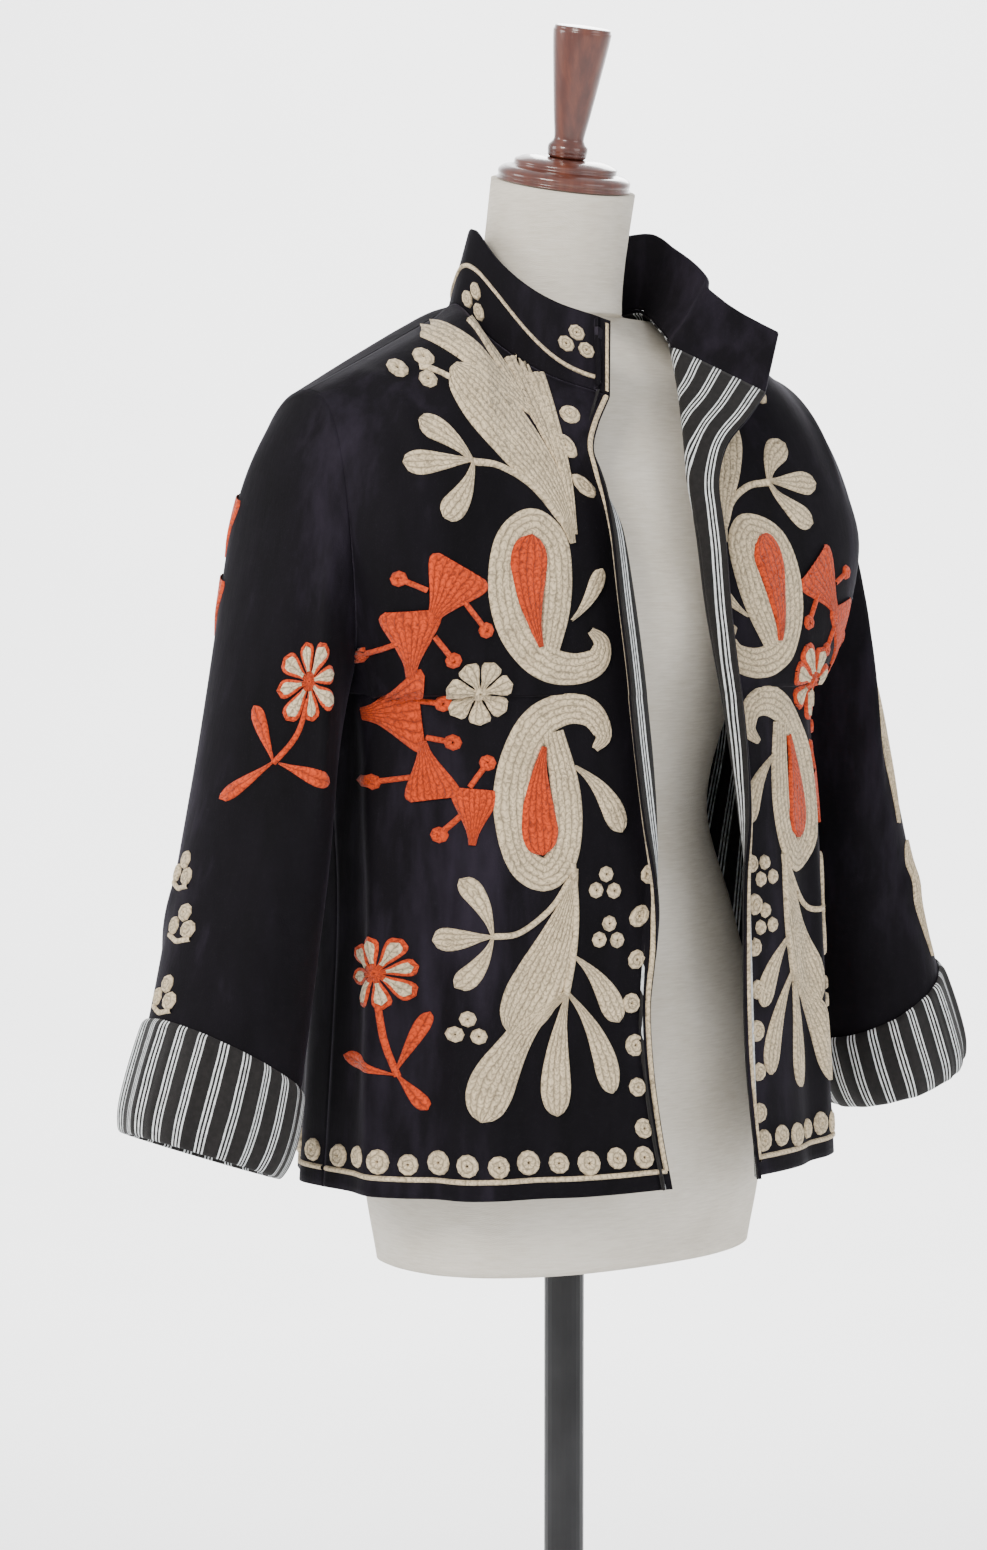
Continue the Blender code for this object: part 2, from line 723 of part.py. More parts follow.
def make_form():
    rings = [form_ring(*row) for row in FORM]
    for x, depth, power in SHOULDER_RINGS:
        rings.append(form_ring(shoulder_z(x), x, depth, RIDGE_Y, power))
    lean = math.tan(math.radians(NECK_TILT))
    for z, radius in NECK_RINGS:
        shift = NECK_CENTRE_Y - (z - LEAN_FROM_Z) * lean
        ring = form_ring(z, radius, radius, shift, 2.0)
        share = smooth(1.385, NECK_TOP_Z, z)
        rings.append([(x, y, zz + (y - shift) * lean * share) for x, y, zz in ring])
    add_loft("form_torso", rings, "linen")


def turned(name, profile, material, base, tilt):
    """A round piece turned about its own axis, tilted forward on its base point."""
    bm = bmesh.new()
    verts = [bm.verts.new((r, 0, z)) for r, z in profile]
    for a, b in zip(verts, verts[1:]):
        bm.edges.new((a, b))
    bmesh.ops.spin(
        bm,
        geom=bm.verts[:] + bm.edges[:],
        axis=(0, 0, 1),
        cent=(0, 0, 0),
        steps=24,
        angle=2 * math.pi,
        use_merge=True,
    )
    bmesh.ops.remove_doubles(bm, verts=bm.verts, dist=1e-6)
    c, s = math.cos(tilt), math.sin(tilt)
    for v in bm.verts:
        x, y, z = v.co
        v.co = (base[0] + x, base[1] + y * c - z * s, base[2] + y * s + z * c)
    return add_mesh(name, bm, material)


def make_stand():
    tilt = math.radians(NECK_TILT)
    top_y = NECK_CENTRE_Y - (NECK_TOP_Z - LEAN_FROM_Z) * math.tan(tilt)
    cap_foot = (0.0, top_y, NECK_TOP_Z + GAP / math.cos(tilt))
    finial_foot = (0.0, top_y - CAP_HEIGHT * math.sin(tilt), cap_foot[2] + CAP_HEIGHT * math.cos(tilt))
    turned("neck_cap", CAP, "turned_wood", cap_foot, tilt)
    turned("finial", FINIAL, "turned_wood", finial_foot, tilt)
    turned("pole", POLE, "stand_metal", (0.0, 0.0, POLE_FOOT), 0.0)
    turned("base", BASE, "stand_metal", (0.0, 0.0, 0.0), 0.0)


def main():
    for obj in list(bpy.data.objects):
        bpy.data.objects.remove(obj)
    holder = bpy.data.collections.new(COLLECTION)
    bpy.context.scene.collection.children.link(holder)
    for name, (colour, roughness, metallic) in COLOURS.items():
        material = bpy.data.materials.new(name)
        material.use_nodes = True
        shader = material.node_tree.nodes["Principled BSDF"]
        shader.inputs["Base Color"].default_value = (*colour, 1.0)
        shader.inputs["Roughness"].default_value = roughness
        shader.inputs["Metallic"].default_value = metallic
        material.diffuse_color = (*colour, 1.0)
    make_garment()
    make_form()
    make_stand()


main()
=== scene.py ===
"""The looks of an embroidered velvet jacket on a dress form, as fine cloth and wool over its solids.

Metres, Z up, the front faces -Y. Run as a script; each group of pieces is one operator of the panel.
"""

import json
import math

import bmesh
import bpy
import numpy as np
from mathutils import Matrix, Vector
from mathutils.bvhtree import BVHTree

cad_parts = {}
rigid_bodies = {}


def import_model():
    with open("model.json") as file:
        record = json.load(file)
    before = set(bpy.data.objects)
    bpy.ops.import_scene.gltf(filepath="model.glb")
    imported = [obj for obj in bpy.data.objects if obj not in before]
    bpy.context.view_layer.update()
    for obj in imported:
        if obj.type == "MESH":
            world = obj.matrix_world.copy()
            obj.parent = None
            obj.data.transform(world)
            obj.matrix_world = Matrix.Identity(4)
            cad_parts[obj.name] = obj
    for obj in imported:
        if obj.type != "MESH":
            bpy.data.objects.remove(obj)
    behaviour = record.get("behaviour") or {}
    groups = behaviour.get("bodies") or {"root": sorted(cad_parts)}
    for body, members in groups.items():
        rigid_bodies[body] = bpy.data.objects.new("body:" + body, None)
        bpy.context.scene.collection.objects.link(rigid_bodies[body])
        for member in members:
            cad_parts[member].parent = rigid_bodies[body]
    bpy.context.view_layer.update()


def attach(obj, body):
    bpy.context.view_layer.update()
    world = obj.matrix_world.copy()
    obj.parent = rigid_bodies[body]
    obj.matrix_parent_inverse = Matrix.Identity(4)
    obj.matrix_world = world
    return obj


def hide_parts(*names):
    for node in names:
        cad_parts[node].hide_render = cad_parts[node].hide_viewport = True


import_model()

bl_info = {
    "name": "Embroidered velvet jacket",
    "version": (1, 0, 0),
    "blender": (4, 5, 0),
    "location": "View3D > Sidebar > Jacket",
    "description": "Builds the cloth, embroidery, dress form, stage and camera of a velvet jacket",
    "category": "Object",
}

COLLECTION = "jacket_look"
WOOLS = ["cream_wool", "orange_wool"]
CREAM, ORANGE = 0, 1

# Wool along the pattern: sampling step, stitch, wave of the collar's stem, least half width, in millimetres
STITCH_STEP = 2.4
STITCH_LENGTH = 4.4
VINE_PERIOD = 190.0
LEAST_HALF = 0.15

# How high wool stands on the cloth, how far one layer lies over another, and how far its rim sinks, in metres
STITCH_HEIGHT = 0.0022
LINE_HEIGHT = 0.0018
VINE_HEIGHT = 0.0017
SPRIG_HEIGHT = 0.0016
PETAL_HEIGHT = 0.0014
PETAL_CORE_HEIGHT = 0.0013
EDGE_HEIGHT = 0.0012
CORE_LIFT = 0.0018
PETAL_CORE_LIFT = 0.0011
FLOWER_EYE_LIFT = 0.0010
SPRIG_EYE_LIFT = 0.0008
SINK = 0.0006

# How far off the form's axis a placing ray starts, and where the point for a missed one is, in metres
RAY_START = 0.6
RAY_FALLBACK = 0.12

# Striped lining: the repeat in metres, the middles of its lines and half a line's width in millimetres
STRIPE_PITCH = 0.017
STRIPE_LINES = (4.9, 7.6, 10.3)
STRIPE_HALF = 0.64

# Repeats of the threads of the lining and of the form's linen, in metres
LINING_WEFT = 0.0007
LINING_WARP = 0.0006
LINEN_THREAD = 0.0011

# The jacket's own sizes, as in its solids
VELVET = 0.0020
LINING = 0.0010
COLLAR_CLOTH = 0.0032
GAP = 0.0003
HEM_Z = 0.722
ARM_TOP_Z = 1.290
ARM_LOW_Z = 1.070
RIDGE_Y = 0.018
NECK_X = 0.085
NECK_Z = 1.354
SHOULDER_ARCH = -0.001
ARM_TOP_X = 0.218
ARM_LOW_X = 0.198
ARM_BULGE = 0.017
ARM_FRONT = 0.070
ARM_BACK = 0.060
BACK_NECK_Y = 0.083
BACK_NECK_Z = 1.343
DOME_ROWS = 6
MID_ROWS = 4
LOW_ROWS = 8
STRIP_COLS = 4
NECK_COLS = 4
SEAM_COLS = 6
COLLAR_ROWS = 3
COLLAR_SMOOTHING = 4
SLEEVE_ROWS = 13
HALF_COLS = NECK_COLS + SEAM_COLS
ROLL_RADIUS = 0.0052
SIDES = ((-1, "right"), (1, "left"))
SIDE_NAMES = dict(SIDES)
BACKWARD = np.array([0.0, 1.0, 0.0])
UPWARD = np.array([0.0, 0.0, 1.0])
BODY = (
    # z, side, front, back, power
    (1.180, 0.225, 0.128, 0.121, 2.5),
    (1.070, 0.198, 0.136, 0.126, 2.5),
    (0.980, 0.200, 0.141, 0.130, 2.4),
    (0.860, 0.206, 0.147, 0.134, 2.3),
    (0.722, 0.216, 0.154, 0.139, 2.25),
)
RIGHT_EDGE = (
    # z, roll_x, strip, turn, drop
    (1.290, 0.036, 0.012, 0.0, 0.004),
    (1.255, 0.067, 0.013, 25.0, 0.003),
    (1.225, 0.068, 0.018, 95.0, 0.001),
    (1.190, 0.057, 0.026, 150.0, 0.0),
    (1.075, 0.042, 0.029, 160.0, 0.0),
    (0.985, 0.037, 0.025, 155.0, 0.0),
    (0.920, 0.040, 0.017, 95.0, 0.0),
    (0.880, 0.046, 0.013, 15.0, 0.0),
    (0.800, 0.044, 0.012, 0.0, 0.0),
    (0.722, 0.032, 0.012, 5.0, 0.0),
)
LEFT_EDGE = (
    # z, roll_x, strip, turn, drop
    (1.322, 0.062, 0.074, 58.0, 0.034),
    (1.285, 0.047, 0.058, 85.0, 0.024),
    (1.250, 0.036, 0.038, 108.0, 0.012),
    (1.215, 0.029, 0.028, 122.0, 0.004),
    (1.140, 0.034, 0.023, 125.0, 0.0),
    (1.050, 0.050, 0.018, 112.0, 0.0),
    (0.990, 0.059, 0.016, 80.0, 0.0),
    (0.940, 0.065, 0.014, 30.0, 0.0),
    (0.820, 0.065, 0.013, 15.0, 0.0),
    (0.722, 0.067, 0.015, 45.0, 0.0),
)
SLEEVE = (
    # s, outer_x, outer_z, inner_x, inner_z, middle_y, depth
    (0.00, 0.218, 1.290, 0.198, 1.070, 0.018, 0.065),
    (0.14, 0.248, 1.236, 0.204, 1.036, 0.018, 0.068),
    (0.32, 0.274, 1.138, 0.213, 0.990, 0.014, 0.069),
    (0.56, 0.306, 1.006, 0.228, 0.913, 0.008, 0.067),
    (0.85, 0.350, 0.850, 0.250, 0.790, -0.001, 0.061),
    (1.00, 0.374, 0.778, 0.268, 0.738, -0.004, 0.060),
)
SLEEVE_END = 0.975
CUFF = (
    # s, out
    (0.850, 0.0004),
    (0.848, 0.0030),
    (0.865, 0.0046),
    (0.920, 0.0060),
    (0.970, 0.0054),
    (1.000, 0.0022),
    (1.006, -0.0010),
    (0.998, -0.0036),
    (0.950, -0.0036),
    (0.950, -0.0024),
    (0.984, -0.0020),
    (0.987, 0.0000),
    (0.975, 0.0012),
    (0.910, 0.0010),
)
COLLAR = (
    # share, lean, height
    (0.00, -4.0, 0.054),
    (0.20, -11.0, 0.055),
    (0.36, -15.0, 0.057),
    (0.50, -4.0, 0.060),
    (0.62, 8.0, 0.060),
    (0.72, 15.0, 0.058),
    (0.84, 36.0, 0.055),
    (1.00, 30.0, 0.052),
)
FRONT_FOLDS = (
    # across, width, depth, top_z
    (0.30, 0.07, -0.0035, 1.05),
    (0.46, 0.08, 0.0045, 1.16),
    (0.62, 0.07, -0.0045, 1.12),
    (0.78, 0.08, 0.0050, 1.20),
    (0.92, 0.05, -0.0035, 1.04),
)
FOLD_RISE = 0.22
BACK_FOLDS = (
    # across, width, depth, top_z
    (0.00, 0.10, 0.0040, 1.00),
    (0.28, 0.09, -0.0045, 1.10),
    (0.52, 0.09, 0.0050, 1.16),
    (0.74, 0.08, -0.0045, 1.12),
    (0.90, 0.06, 0.0035, 1.02),
)
SLEEVE_FOLDS = (
    # angle, s, wide, long, depth
    (62.0, 0.22, 16.0, 0.20, -0.0050),
    (95.0, 0.30, 18.0, 0.22, 0.0040),
    (128.0, 0.34, 14.0, 0.16, -0.0045),
    (40.0, 0.62, 22.0, 0.16, -0.0030),
    (100.0, 0.70, 26.0, 0.12, -0.0035),
    (300.0, 0.26, 18.0, 0.22, -0.0050),
    (262.0, 0.40, 20.0, 0.22, 0.0040),
    (235.0, 0.66, 24.0, 0.14, -0.0035),
)
FORM = (
    # z, width, depth, middle_y, power
    (0.655, 0.150, 0.100, 0.000, 2.3),
    (0.720, 0.160, 0.108, 0.000, 2.3),
    (0.800, 0.163, 0.110, 0.002, 2.25),
    (0.900, 0.140, 0.098, 0.003, 2.2),
    (0.985, 0.115, 0.086, 0.002, 2.15),
    (1.060, 0.130, 0.098, 0.000, 2.2),
    (1.130, 0.148, 0.112, -0.004, 2.25),
    (1.200, 0.166, 0.104, 0.004, 2.3),
)
FORM_SIDES = 24
SHOULDER_RINGS = (
    # half width, half depth, roundness
    (0.188, 0.062, 1.8),
    (0.165, 0.054, 1.5),
    (0.134, 0.049, 1.12),
    (0.092, 0.046, 0.94),
)
FORM_CLEAR = 0.0009
NECK_RADIUS = 0.0530
NECK_TILT = 12.0
NECK_TOP_Z = 1.442
NECK_CENTRE_Y = 0.012
NECK_RINGS = (
    # z, radius
    (1.3485, 0.0555),
    (1.362, 0.0540),
    (1.390, NECK_RADIUS),
    (NECK_TOP_Z, NECK_RADIUS),
)
LEAN_FROM_Z = 1.400
NECK_SLOPE_Z = 1.385
CAP = (
    # radius, height
    (0.0, 0.0),
    (0.0455, 0.0),
    (0.0485, 0.0035),
    (0.0488, 0.0075),
    (0.0450, 0.0105),
    (0.0385, 0.0125),
    (0.0370, 0.0165),
    (0.0250, 0.0200),
    (0.0, 0.0200),
)
FINIAL = (
    # radius, height
    (0.0, 0.0),
    (0.0125, 0.0),
    (0.0145, 0.0040),
    (0.0145, 0.0085),
    (0.0118, 0.0120),
    (0.0112, 0.0160),
    (0.0135, 0.0310),
    (0.0180, 0.0630),
    (0.0212, 0.0880),
    (0.0208, 0.0930),
    (0.0180, 0.0955),
    (0.0, 0.0965),
)
CAP_HEIGHT = 0.0203


def between(table, key, column):
    """A column of a table at a key, along a smooth curve through its rows."""
    rows = sorted(table)
    keys = [row[0] for row in rows]
    values = [row[column] for row in rows]
    key = min(max(key, keys[0]), keys[-1])
    i = min(max(int(np.searchsorted(keys, key)) - 1, 0), len(keys) - 2)
    slopes = []
    for k in (i, i + 1):
        low = max(k - 1, 0)
        high = min(k + 1, len(keys) - 1)
        slopes.append((values[high] - values[low]) / (keys[high] - keys[low]))
    span = keys[i + 1] - keys[i]
    t = (key - keys[i]) / span
    ends = (2 * t**3 - 3 * t**2 + 1) * values[i] + (3 * t**2 - 2 * t**3) * values[i + 1]
    return ends + span * ((t**3 - 2 * t**2 + t) * slopes[0] + (t**3 - t**2) * slopes[1])


def smooth(low, high, value):
    """A soft step from 0 at low to 1 at high."""
    t = min(max((value - low) / (high - low), 0.0), 1.0)
    return t * t * (3 - 2 * t)


def unit(vectors):
    """The vectors at a length of one."""
    return vectors / np.maximum(np.linalg.norm(vectors, axis=-1, keepdims=True), 1e-12)


def row_angles():
    """Angle on the armhole of each grid row down to the underarm, from 0 at the shoulder to 180."""
    dome = [90.0 * i / DOME_ROWS for i in range(DOME_ROWS)]
    mid = [90.0 + 90.0 * i / MID_ROWS for i in range(MID_ROWS + 1)]
    return dome + mid


def armhole(side, angle, back):
    """Point of the armhole; the angle is 0 at the shoulder and 180 under the arm."""
    a = math.radians(angle)
    down = (1 - math.cos(a)) / 2
    x = ARM_TOP_X + (ARM_LOW_X - ARM_TOP_X) * down + ARM_BULGE * math.sin(a) ** 2
    depth = ARM_BACK if back else -ARM_FRONT
    z = ARM_TOP_Z + (ARM_LOW_Z - ARM_TOP_Z) * down
    return np.array([side * x, RIDGE_Y + depth * math.sin(a) ** 0.9, z])


def bezier(a, b, c, t):
    """Point of a curve from a to c that leans towards b."""
    return a * (1 - t) ** 2 + b * 2 * t * (1 - t) + c * t**2


def front_top(side, t):
    """Front neckline from the roll line to the neck point, t 0 to 1, then the shoulder seam, t 1 to 2."""
    neck = np.array([side * NECK_X, RIDGE_Y, NECK_Z])
    if t > 1:
        tip = armhole(side, 0.0, False)
        point = neck + (tip - neck) * (t - 1)
        point[2] += SHOULDER_ARCH * math.sin(math.pi * (t - 1))
        return point
    if side < 0:
        return bezier(np.array([-0.036, -0.082, 1.290]), np.array([-0.086, -0.052, 1.304]), neck, t)
    return bezier(np.array([0.062, -0.052, 1.322]), np.array([0.083, -0.022, 1.336]), neck, t)


def back_top(side, t):
    """Back neckline from the middle to the neck point, t 0 to 1, then the shoulder seam, t 1 to 2."""
    if t > 1:
        return front_top(side, t)
    middle = np.array([0.0, BACK_NECK_Y, BACK_NECK_Z])
    neck = np.array([side * NECK_X, RIDGE_Y, NECK_Z])
    return bezier(middle, np.array([side * 0.070, BACK_NECK_Y, BACK_NECK_Z + 0.001]), neck, t)


def section(z, psi, end, back):
    """Point of a body section: psi is 0 at the middle and 90 at the end point of the row."""
    power = 2 / between(BODY, z, 4)
    deep = between(BODY, z, 3 if back else 2) * (1 if back else -1)
    p = math.radians(min(max(psi, 0.0), 90.0))
    wide, near = math.sin(p) ** power, max(math.cos(p), 0.0) ** power
    return np.array([end[0] * wide, end[1] + (deep - end[1]) * near, z])


def psi_at(z, x, end):
    """The angle of a section at a distance from the middle."""
    power = 2 / between(BODY, z, 4)
    return math.degrees(math.asin(min(max(x / abs(end[0]), 0.0), 1.0) ** (1 / power)))


def row_end(side, row, back):
    """The end of a grid row at the armhole or the side seam."""
    angles = row_angles()
    if row < len(angles):
        return armhole(side, angles[row], back)
    z = ARM_LOW_Z + (HEM_Z - ARM_LOW_Z) * (row - len(angles) + 1) / LOW_ROWS
    return np.array([side * between(BODY, z, 1), RIDGE_Y * smooth(0.9, ARM_LOW_Z, z), z])


def folded(table, across, point):
    """Push a point in or out by the folds of its panel."""
    push = 0.0
    for place, width, depth, top in table:
        reach = 1 - smooth(top - FOLD_RISE, top, point[2])
        push += depth * reach * math.exp(-(((across - place) / width) ** 2))
    return point + unit(point * np.array([1.0, 1.0, 0.0])) * push


def panel(side, back, start):
    """Rows of a half panel, from its inner edge at start(height) to the armhole and the side seam."""
    rows = DOME_ROWS + MID_ROWS + LOW_ROWS
    share = [i / HALF_COLS for i in range(HALF_COLS + 1)]
    places = [i / NECK_COLS for i in range(NECK_COLS)] + [1 + i / SEAM_COLS for i in range(SEAM_COLS + 1)]
    grid = np.zeros((rows + 1, HALF_COLS + 1, 3))
    chest_end = row_end(side, DOME_ROWS, back)
    for j in range(rows + 1):
        end = row_end(side, j, back)
        for i in range(HALF_COLS + 1):
            z = max(end[2], HEM_Z) if j >= DOME_ROWS else chest_end[2]
            low_end = end if j >= DOME_ROWS else chest_end
            first = psi_at(z, start(z), low_end)
            point = section(z, first + (90 - first) * share[i], low_end, back)
            if j < DOME_ROWS:
                top = back_top(side, places[i]) if back else front_top(side, places[i])
                r = j / DOME_ROWS
                arc = np.array([r, math.sin(r * math.pi / 2), 1 - math.cos(r * math.pi / 2)])
                slant = np.array([r, 1 - (1 - r) ** 1.5, r])
                weight = 0.55 + 0.45 * smooth(0.0, 0.5, share[i]) if back else smooth(0.0, 0.55, share[i])
                point = top + (point - top) * (slant * (1 - weight) + arc * weight)
                if i == HALF_COLS:
                    point = end
                elif i == 0 and not back:
                    point[0] = side * start(point[2])
            grid[j, i] = point
    return grid


def eased_front(side, table):
    """A front half panel whose inner edge follows the roll line of its table."""
    grid = panel(side, False, lambda z: between(table, z, 1))
    for row in grid[1:DOME_ROWS]:
        gap = 2 * row[1, 0] - row[0, 0] - row[2, 0]
        for i in range(1, NECK_COLS + 2):
            row[i, 0] -= gap * (1 - i / (NECK_COLS + 2)) ** 1.5
    return grid


def with_strip(side, grid, table):
    """Add the columns past the roll line, turned outwards as the table says. The first column is the edge."""
    rows = grid.shape[0]
    strip = np.zeros((rows, STRIP_COLS, 3))
    down = np.gradient(grid[:, 0], axis=0)
    for j in range(rows):
        point = grid[j, 0]
        along = unit(grid[j, 0] - grid[j, 1])
        normal = unit(np.cross(down[j], along) * side)
        if normal[1] > 0:
            normal = -normal
        along = unit(along - normal * np.dot(along, normal))
        width, turn, drop = (between(table, point[2], k) for k in (2, 3, 4))
        turn = math.radians(max(turn, 0.0))
        for k in range(STRIP_COLS):
            reach = width * (k + 1) / STRIP_COLS
            arc = min(reach, ROLL_RADIUS * turn)
            angle = arc / ROLL_RADIUS
            place = point + ROLL_RADIUS * (math.sin(angle) * along + (1 - math.cos(angle)) * normal)
            place = place + (reach - arc) * (math.cos(angle) * along + math.sin(angle) * normal)
            place[2] = point[2] - drop * (k + 1) / STRIP_COLS
            strip[j, STRIP_COLS - 1 - k] = place
    return np.concatenate([strip, grid], axis=1)


def sleeve_point(side, s, angle):
    """Point of the sleeve's outside: angle 0 is its top line, 90 its front, 180 its foot, 270 its back."""
    back = angle > 180
    fold = 360 - angle if back else angle
    a = math.radians(fold)
    values = [between(SLEEVE, s, k) for k in range(1, 7)]
    if s > 1:
        last, step = SLEEVE[-1], SLEEVE[-2]
        more = (s - last[0]) / (last[0] - step[0])
        values = [last[k] + (last[k] - step[k]) * more for k in range(1, 7)]
    outer_x, outer_z, inner_x, inner_z, middle_y, ring_depth = values
    outer = np.array([outer_x, middle_y, outer_z])
    inner = np.array([inner_x, middle_y, inner_z])
    past_head = smooth(0.0, 0.3, s)
    mouth = ARM_BACK if back else ARM_FRONT
    depth = mouth + (ring_depth - mouth) * past_head
    middle = (outer + inner) / 2
    point = middle + (outer - inner) / 2 * math.cos(a)
    point[1] += depth * math.sin(a) ** (0.9 + 0.1 * past_head) * (1 if back else -1)
    point[0] += ARM_BULGE * math.sin(a) ** 2 * (1 - smooth(0.0, 0.5, s))
    for place, along, wide, long, push in SLEEVE_FOLDS:
        near = math.exp(-(((angle - place) / wide) ** 2) - ((s - along) / long) ** 2) * smooth(0.0, 0.15, s)
        point += unit(point - middle) * push * near * (1 - smooth(0.80, 0.9, s))
    point[0] *= side
    return point


def sleeve_angles():
    """Angles of the columns round a sleeve, matched to the rows of the armhole."""
    half = row_angles()
    return half + [360 - a for a in reversed(half[1:-1])]


def sleeve_grid(side, shares):
    """Rings of a sleeve at shares of its length."""
    return np.array([[sleeve_point(side, s, a) for a in sleeve_angles()] for s in shares])


def grid_normals(grid, outward, around=False):
    """Unit normals of a grid of points, turned to point outward."""
    down = np.gradient(grid, axis=0)
    if around:
        across = np.roll(grid, -1, axis=1) - np.roll(grid, 1, axis=1)
    else:
        across = np.gradient(grid, axis=1)
    normals = unit(np.cross(down, across))
    middle = normals[grid.shape[0] // 2, grid.shape[1] // 2]
    return normals if np.dot(middle, outward) > 0 else -normals


def sleeve_normals(grid):
    """Unit normals of a sleeve, turned outwards on its front."""
    normals = grid_normals(grid, BACKWARD, True)
    return normals if normals[len(grid) // 2, DOME_ROWS, 1] < 0 else -normals


def collar_grid(base):
    """Rows of the collar up from its seam, from the right front edge to the left one."""
    flat = base.copy()
    flat[:, 2] = 0
    along = unit(np.gradient(flat, axis=0))
    outward = np.stack([along[:, 1], -along[:, 0], 0 * along[:, 0]], axis=-1)
    if outward[len(base) // 2, 1] < 0:
        outward = -outward
    for _ in range(COLLAR_SMOOTHING):
        outward[1:-1] = unit(outward[:-2] + 2 * outward[1:-1] + outward[2:])
    length = np.concatenate([[0.0], np.cumsum(np.linalg.norm(np.diff(base, axis=0), axis=1))])
    rows = []
    for i, point in enumerate(base):
        share = length[i] / length[-1]
        lean = math.radians(between(COLLAR, share, 1))
        rise = math.sin(lean) * outward[i] + math.cos(lean) * np.array([0.0, 0.0, 1.0])
        height = between(COLLAR, share, 2)
        rows.append([point + rise * height * j / COLLAR_ROWS for j in range(COLLAR_ROWS + 1)])
    return np.array(rows).swapaxes(0, 1)


def front_grid(side):
    """The whole front panel of a side, with its turned edge and its folds."""
    edge = RIGHT_EDGE if side < 0 else LEFT_EDGE
    grid = with_strip(side, eased_front(side, edge), edge)
    for row in grid:
        for i in range(len(row) - 1):
            row[i] = folded(FRONT_FOLDS, max(i - STRIP_COLS, 0) / HALF_COLS, row[i])
    return grid


def back_grid():
    """The whole back, from the right armhole and side seam to the left ones."""
    right, left = (panel(side, True, lambda z: 0.0) for side in (-1, 1))
    grid = np.concatenate([right[:, ::-1], left[:, 1:]], axis=1)
    for row in grid:
        for i in range(1, len(row) - 1):
            row[i] = folded(BACK_FOLDS, abs(i - HALF_COLS) / HALF_COLS, row[i])
    return grid


def neckline(right, back, left):
    """The neck seam, from the right front edge round the back to the left front edge."""
    count = STRIP_COLS + NECK_COLS + 1
    middle = back[0, SEAM_COLS + 1 : SEAM_COLS + 2 * NECK_COLS]
    return np.concatenate([right[0, :count], middle, left[0, :count][::-1]])


def garment_grids():
    """The outside of each cloth piece that shares a seam."""
    grids = {"back": back_grid()}
    shares = [SLEEVE_END * (i / SLEEVE_ROWS) ** 0.9 for i in range(SLEEVE_ROWS + 1)]
    for side, name in SIDES:
        grids["front_" + name] = front_grid(side)
        grids["sleeve_" + name] = sleeve_grid(side, shares)
    grids["collar"] = collar_grid(neckline(grids["front_right"], grids["back"], grids["front_left"]))
    return grids


def form_ring(z, width, depth, middle_y, power):
    """A level ring of the dress form."""
    ring = []
    for i in range(FORM_SIDES):
        a = 2 * math.pi * i / FORM_SIDES
        c, s = math.cos(a), math.sin(a)
        x = math.copysign(abs(s) ** (2 / power), s) * width
        y = -math.copysign(abs(c) ** (2 / power), c) * depth
        ring.append((x, middle_y + y, z))
    return ring


def shoulder_z(x):
    """Height of the lining's inside on the shoulder line."""
    t = (x - NECK_X) / (ARM_TOP_X - NECK_X)
    z = NECK_Z + (ARM_TOP_Z - NECK_Z) * t + SHOULDER_ARCH * math.sin(math.pi * max(t, 0.0))
    slope = math.atan((NECK_Z - ARM_TOP_Z) / (ARM_TOP_X - NECK_X))
    return z - (VELVET + GAP + LINING + FORM_CLEAR) / math.cos(slope)


def spline(grid, count, around=False):
    """More rows through the rows of a grid, on smooth curves."""
    n = len(grid)
    t = np.linspace(0, n if around else n - 1, count, endpoint=not around)
    i = np.minimum(np.floor(t).astype(int), n - 1 if around else n - 2)
    f = (t - i).reshape((-1,) + (1,) * (grid.ndim - 1))
    if around:
        p = [grid[(i + k) % n] for k in (-1, 0, 1, 2)]
    else:
        wide = np.concatenate([[2 * grid[0] - grid[1]], grid, [2 * grid[-1] - grid[-2]]])
        p = [wide[i + k] for k in (0, 1, 2, 3)]
    before, start, end, after = p
    curve = 2 * start + (end - before) * f + (2 * before - 5 * start + 4 * end - after) * f**2
    return 0.5 * (curve + (3 * start - before - 3 * end + after) * f**3)


def refined(grid, rows, cols, around=False):
    """A fine grid through a coarse one."""
    fine = spline(grid, rows)
    return spline(fine.swapaxes(0, 1), cols, around).swapaxes(0, 1)


def gentle(grid, count, around=False):
    """More rows through the rows of a grid, on curves that never swing past a row."""
    wide = np.concatenate([grid[-1:], grid, grid[:2]]) if around else grid
    steps = np.diff(wide, axis=0)
    before, after = steps[:-1], steps[1:]
    same = before * after > 0
    slopes = np.divide(2 * before * after, before + after, out=np.zeros_like(before), where=same)
    if around:
        start, end, m0, m1 = wide[1:-2], wide[2:-1], slopes[:-1], slopes[1:]
    else:
        slopes = np.concatenate([steps[:1], slopes, steps[-1:]])
        start, end, m0, m1 = grid[:-1], grid[1:], slopes[:-1], slopes[1:]
    t = np.linspace(0, len(start), count, endpoint=not around)
    i = np.minimum(np.floor(t).astype(int), len(start) - 1)
    f = (t - i).reshape((-1,) + (1,) * (grid.ndim - 1))
    near = start[i] * (1 + 2 * f) * (1 - f) ** 2 + m0[i] * f * (1 - f) ** 2
    return near + end[i] * f**2 * (3 - 2 * f) + m1[i] * f**2 * (f - 1)


def closed_round(grid):
    """The grid with its first column again after its last."""
    return np.concatenate([grid, grid[:, :1]], axis=1)


def lengths(grid, axis):
    """Arc length of each point of a grid along an axis."""
    steps = np.linalg.norm(np.diff(grid, axis=axis), axis=-1)
    first = np.zeros_like(np.take(steps, [0], axis=axis))
    return np.concatenate([first, np.cumsum(steps, axis=axis)], axis=axis)


